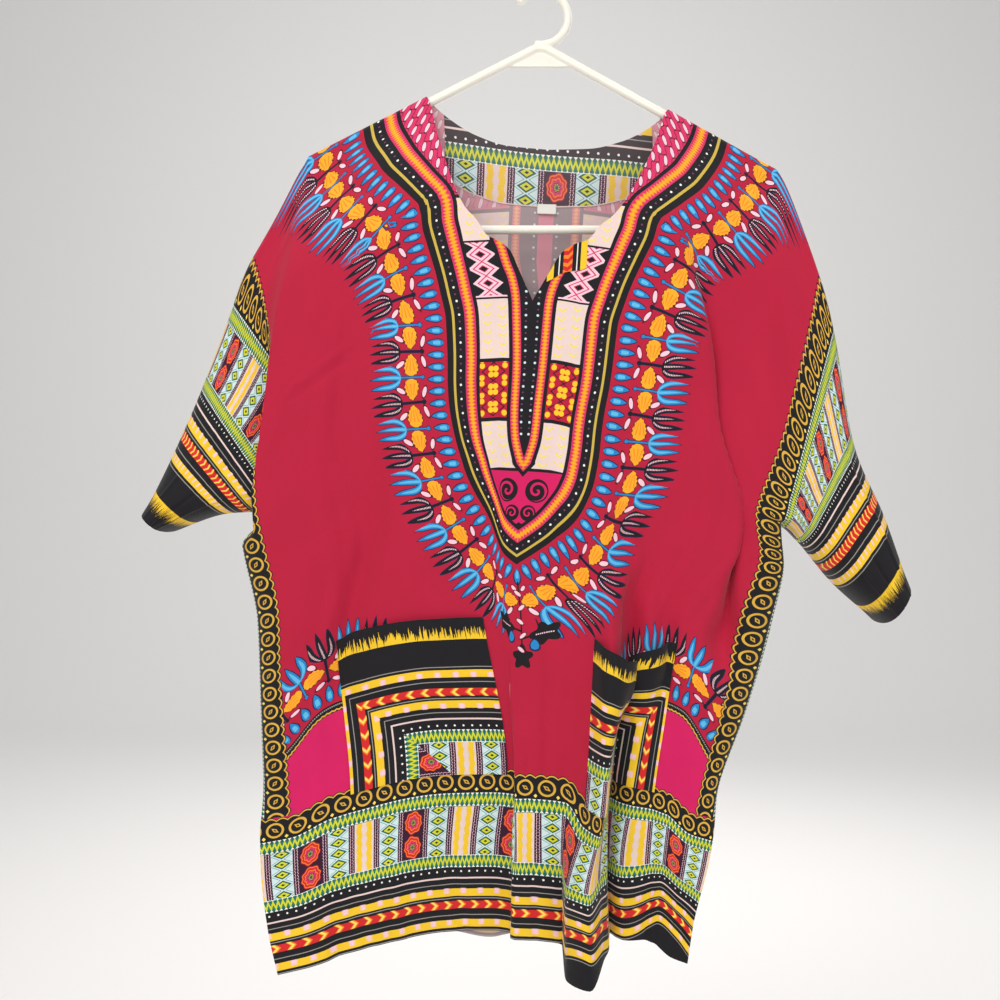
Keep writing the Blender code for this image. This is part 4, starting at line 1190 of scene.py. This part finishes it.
def finish(tree, shown, height, strength, depth):
    bump = addNode(tree, "Bump", None, {"Strength": strength, "Distance": depth, "Height": height})[0]
    setSockets(tree, tree.nodes["Principled BSDF"], {"Base Color": shown, "Normal": bump})


def finishCotton(tree, shown, x, y, pale, thread):
    # shade drift, weave and the sewn thread's dent; pale is how far the wrong side fades
    place, pitch = spot(tree, x, y), weave["pitch"]
    grain = noise(tree, place, weave["grain"])
    shade = weave["shade"] + 0.2 * noise(tree, place, weave["drift"], 3.0) + 0.1 * grain
    shown = addNode(tree, "VectorMath", {"operation": "SCALE"}, {0: shown, 3: shade})[0]
    if pale:
        shown = mixed(tree, pale, shown, "faded")
    height = wave(x, pitch) * wave(y, pitch) * 0.5 + grain * 0.8 - weave["dent"] * thread
    finish(tree, shown, height, weave["strength"], weave["depth"])


def makeCotton(name, pale):
    material, tree = newMaterial(name, cotton)
    c, fall, low = splitMark(tree, "cloth")
    edge, arch = splitMark(tree, "yoke"), splitMark(tree, "arch")
    past = splitMark(tree, "slit")[0]
    lower = (arch[0] < edge[0]) * (fall > yokePrint["tip"]) * (abs(c) > 60)
    d, s, lean = [between(high, chosen, lower) for chosen, high in zip(arch, edge)]
    shown = drawSprays(d, s, lean, c, "crimson")
    shown = lay(shown, ((abs(c) < 34) * near(fall, 500.5, 44.5), drawLeaves(c, fall, shown)))
    shown = drawYoke(c, fall, edge, past, shown)
    shown = drawArches(arch[0], arch[1], shown)
    # the border runs along the hem and along both cuffs
    atHem = fall > borderAt["hem"]
    e = between(abs(c) - borderAt["cuff"], fall + low - borderAt["hem"], atHem)
    t = between(fall, c, atHem)
    shown = drawBorder(e, t, shown)
    openEdge = lesser(cut["length"] - fall, cut["cuff"] - abs(c))
    finishCotton(tree, shown, c, fall, pale, stitched(openEdge, hemming["deep"], t))
    return material


borderAt = {"hem": 634, "cuff": 256, "pocketTop": 201, "pocketSide": 148}


def makePocketCotton():
    material, tree = newMaterial("pocketCotton", cotton)
    across, v, edge = splitMark(tree, "pocket")
    top = borderAt["pocketTop"] + pocketSizes["top"] - v
    side = borderAt["pocketSide"] - pocketSizes["outer"] + across
    shown = drawBorder(top | side, between(v, across, top > side), "crimson")
    finishCotton(tree, shown, across, v, 0, stitched(edge, 2.0, across + v))
    return material


facingPrint = {
    "scale": 1.22,
    "middle": (8.5, 54.4),
    "prints": (48.2, 88.7),
    "tilt": 0.055,
    "bow": (97, 3.1),
    "pale": 0.08,
    # places are c along the strip
    "slit": [(0, "yellow"), (17, "black"), (21, "white"), (22, "black"), (25, "red"), (33, "black"),
             (36.5, "white"), (37.5, "black"), (40, "yellow")],
}


def makeFacingCotton():
    # the border's print, a little larger, bowed along the facing
    look = facingPrint
    material, tree = newMaterial("neckFacingCotton", cotton)
    c, fall, v = splitMark(tree, "facing")
    half, bow = look["bow"]
    e = look["prints"][1] + (look["middle"][1] - fall + look["tilt"] * c
                             - (c / half) * (c / half) * bow) / look["scale"]
    t = (c - look["middle"][0]) / look["scale"] + look["prints"][0]
    shown = lay(drawBorder(e, t, "crimson"), (near(v, 57.4, 0.7), "cream"))
    finishCotton(tree, shown, c, fall, look["pale"], stitched(v, 55.0, c))
    return material


def makeSlitCotton():
    material, tree = newMaterial("slitFacingCotton", cotton)
    c, fall, v = splitMark(tree, "facing")
    chevron = reckon("WRAP", v + abs(c - 29) * 1.2, 13.0, 0.0)
    shown = lay(stripes(c, 60, facingPrint["slit"]), (near(c, 29, 4) * (chevron < 6.0), "orange"))
    finishCotton(tree, shown, c, v, 0, stitched(v, 2.5, c))
    return material


def makeTape():
    material, tree = newMaterial("labelTape", {"Roughness": 0.6})
    x, y, z = splitMark(tree, "tape")
    edge = near(abs(x), 8.6, 0.25) | near(y, 8.4, 0.25)
    finish(tree, lay("tape", (edge, "tapeEdge")), wave(x, 0.5) * 0.5 + wave(y, 0.42) * 0.5, 0.4, 0.0001)
    return material


def makeIvory():
    material, tree = newMaterial("ivoryPlastic", plastic)
    cloud = noise(tree, addNode(tree, "TexCoord")[3], 22.0, 3.0)
    setSockets(tree, tree.nodes["Principled BSDF"], {"Base Color": lay("ivory", (cloud, "paleIvory"))})
    return material


print("laying out the cloth")
frontGrid = panelGrid(frontPanel, creases["front"], pleat["back"])
backGrid = panelGrid(backPanel, creases["back"])
sheetCotton = [makeCotton("printedCotton", 0), makeCotton("printedCottonInside", 0.46)]
pocketCotton = makePocketCotton()
facingCotton = makeFacingCotton()
slitCotton = makeSlitCotton()

print("making the pieces")
frontCloth = makePanel("frontCloth", frontGrid, yoke["frontBand"], hemming["lowered"], sheetCotton)
backCloth = makePanel("backCloth", backGrid, yoke["backBand"], [], sheetCotton)
pocketLeft = makePocket("pocketLeft", frontGrid, -1, [pocketCotton])
pocketRight = makePocket("pocketRight", frontGrid, 1, [pocketCotton])
slitFacing = makeFacing("slitFacing", frontGrid, facings["slit"], 1, slitCotton)
neckFacing = makeFacing("neckFacing", backGrid, facings["neck"], -1, facingCotton)
backLabel = makeLabel(backGrid, makeTape())
hangerMoulding = makeHanger(makeIvory())

# piece, node it stands for, material slot, then for cloth: flat size, what carries it, area
kit = [
    (frontCloth, "front", "printed_cotton", (0.92, 0.79), hangerMoulding, 0.54),
    (backCloth, "back", "printed_cotton", (0.92, 0.79), hangerMoulding, 0.54),
    (pocketLeft, "pocket_left", "printed_border", (0.148, 0.149), frontCloth, None),
    (pocketRight, "pocket_right", "printed_border", (0.148, 0.149), frontCloth, None),
    (slitFacing, "slit_facing", "printed_border", (0.034, 0.026), frontCloth, None),
    (neckFacing, "neck_facing", "printed_border", (0.2, 0.075), backCloth, 0.0125),
    (backLabel, "label", "label_tape", (0.018, 0.01), neckFacing, None),
    (hangerMoulding, "hanger", "ivory_plastic"),
]
for piece, node, slot, *cloth in kit:
    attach(piece, "root")
    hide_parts(node)

studio = {
    "floorZ": -1.35,
    "floorHalf": 7.0,
    "wallY": 4.5,
    "wallHigh": 7,
    "bend": 1.2,
    "floorColour": (0.86, 0.85, 0.84),
    "cameraAt": (-0.038, -1.1, -0.469),
    "viewAngle": 45.8,
    "world": 0.5,
    # name, place, aims at, width, watts, colour
    "lights": [
        ("key", (-1.1, -1.7, 1.0), (0, 0, -0.45), 1.1, 22, (1.0, 0.97, 0.93)),
        ("fill", (1.6, -1.6, 0.1), (0, 0, -0.5), 1.4, 8, (0.94, 0.97, 1.0)),
        ("front", (-0.1, -1.9, -0.1), (0, 0, -0.45), 0.8, 9, (1.0, 0.98, 0.97)),
        ("top", (0.1, -0.2, 1.5), (0, 0, -0.4), 1.0, 11, (1.0, 0.98, 0.95)),
        ("rear", (0.4, 1.9, 0.6), (0, 0, -0.5), 1.5, 20, (1.0, 0.98, 0.96)),
        ("wall", (0, 1.6, 1.4), (0, 4.5, -0.7), 2.0, 26, (1.0, 0.99, 0.98)),
    ],
}


def makeStudio():
    scene = bpy.context.scene
    z, half, wall, bend = studio["floorZ"], studio["floorHalf"], studio["wallY"], studio["bend"]
    curve = [(wall - bend + bend * math.sin(a), z + bend - bend * math.cos(a))
             for a in np.linspace(0, math.pi / 2, 13)]
    profile = [(-half, z)] + curve + [(wall, z + studio["wallHigh"])]
    mesh = bpy.data.meshes.new("floor")
    verts = [(x, y, h) for y, h in profile for x in (-half, half)]
    faces = [(2 * k, 2 * k + 1, 2 * k + 3, 2 * k + 2) for k in range(len(profile) - 1)]
    mesh.from_pydata(verts, [], faces)
    mesh.shade_smooth()
    paint = {"Base Color": (*studio["floorColour"], 1), "Roughness": 0.9}
    mesh.materials.append(newMaterial("floorPaint", paint)[0])
    put("floor", mesh)
    for name, place, target, width, watts, tint in studio["lights"]:
        light = bpy.data.lights.new(name, "AREA")
        light.size, light.energy, light.color = width, watts, tint
        lamp = put(name, light)
        x, y, h = [end - start for start, end in zip(place, target)]
        lamp.location = place
        lamp.rotation_euler = (math.atan2(math.hypot(x, y), -h), 0, math.atan2(y, x) - math.pi / 2)
    world = bpy.data.worlds.new("room")
    world.use_nodes = True
    light = {"Color": (1, 1, 1, 1), "Strength": studio["world"]}
    setSockets(world.node_tree, world.node_tree.nodes["Background"], light)
    scene.world = world
    scene.view_settings.view_transform = "Standard"
    lens = bpy.data.cameras.new("camera")
    lens.sensor_width = 36
    lens.lens = 18 / math.tan(math.radians(studio["viewAngle"] / 2))
    scene.camera = put("camera", lens)
    scene.camera.location = studio["cameraAt"]
    scene.camera.rotation_euler = (math.pi / 2, 0, 0)


makeStudio()
print("studio ready")
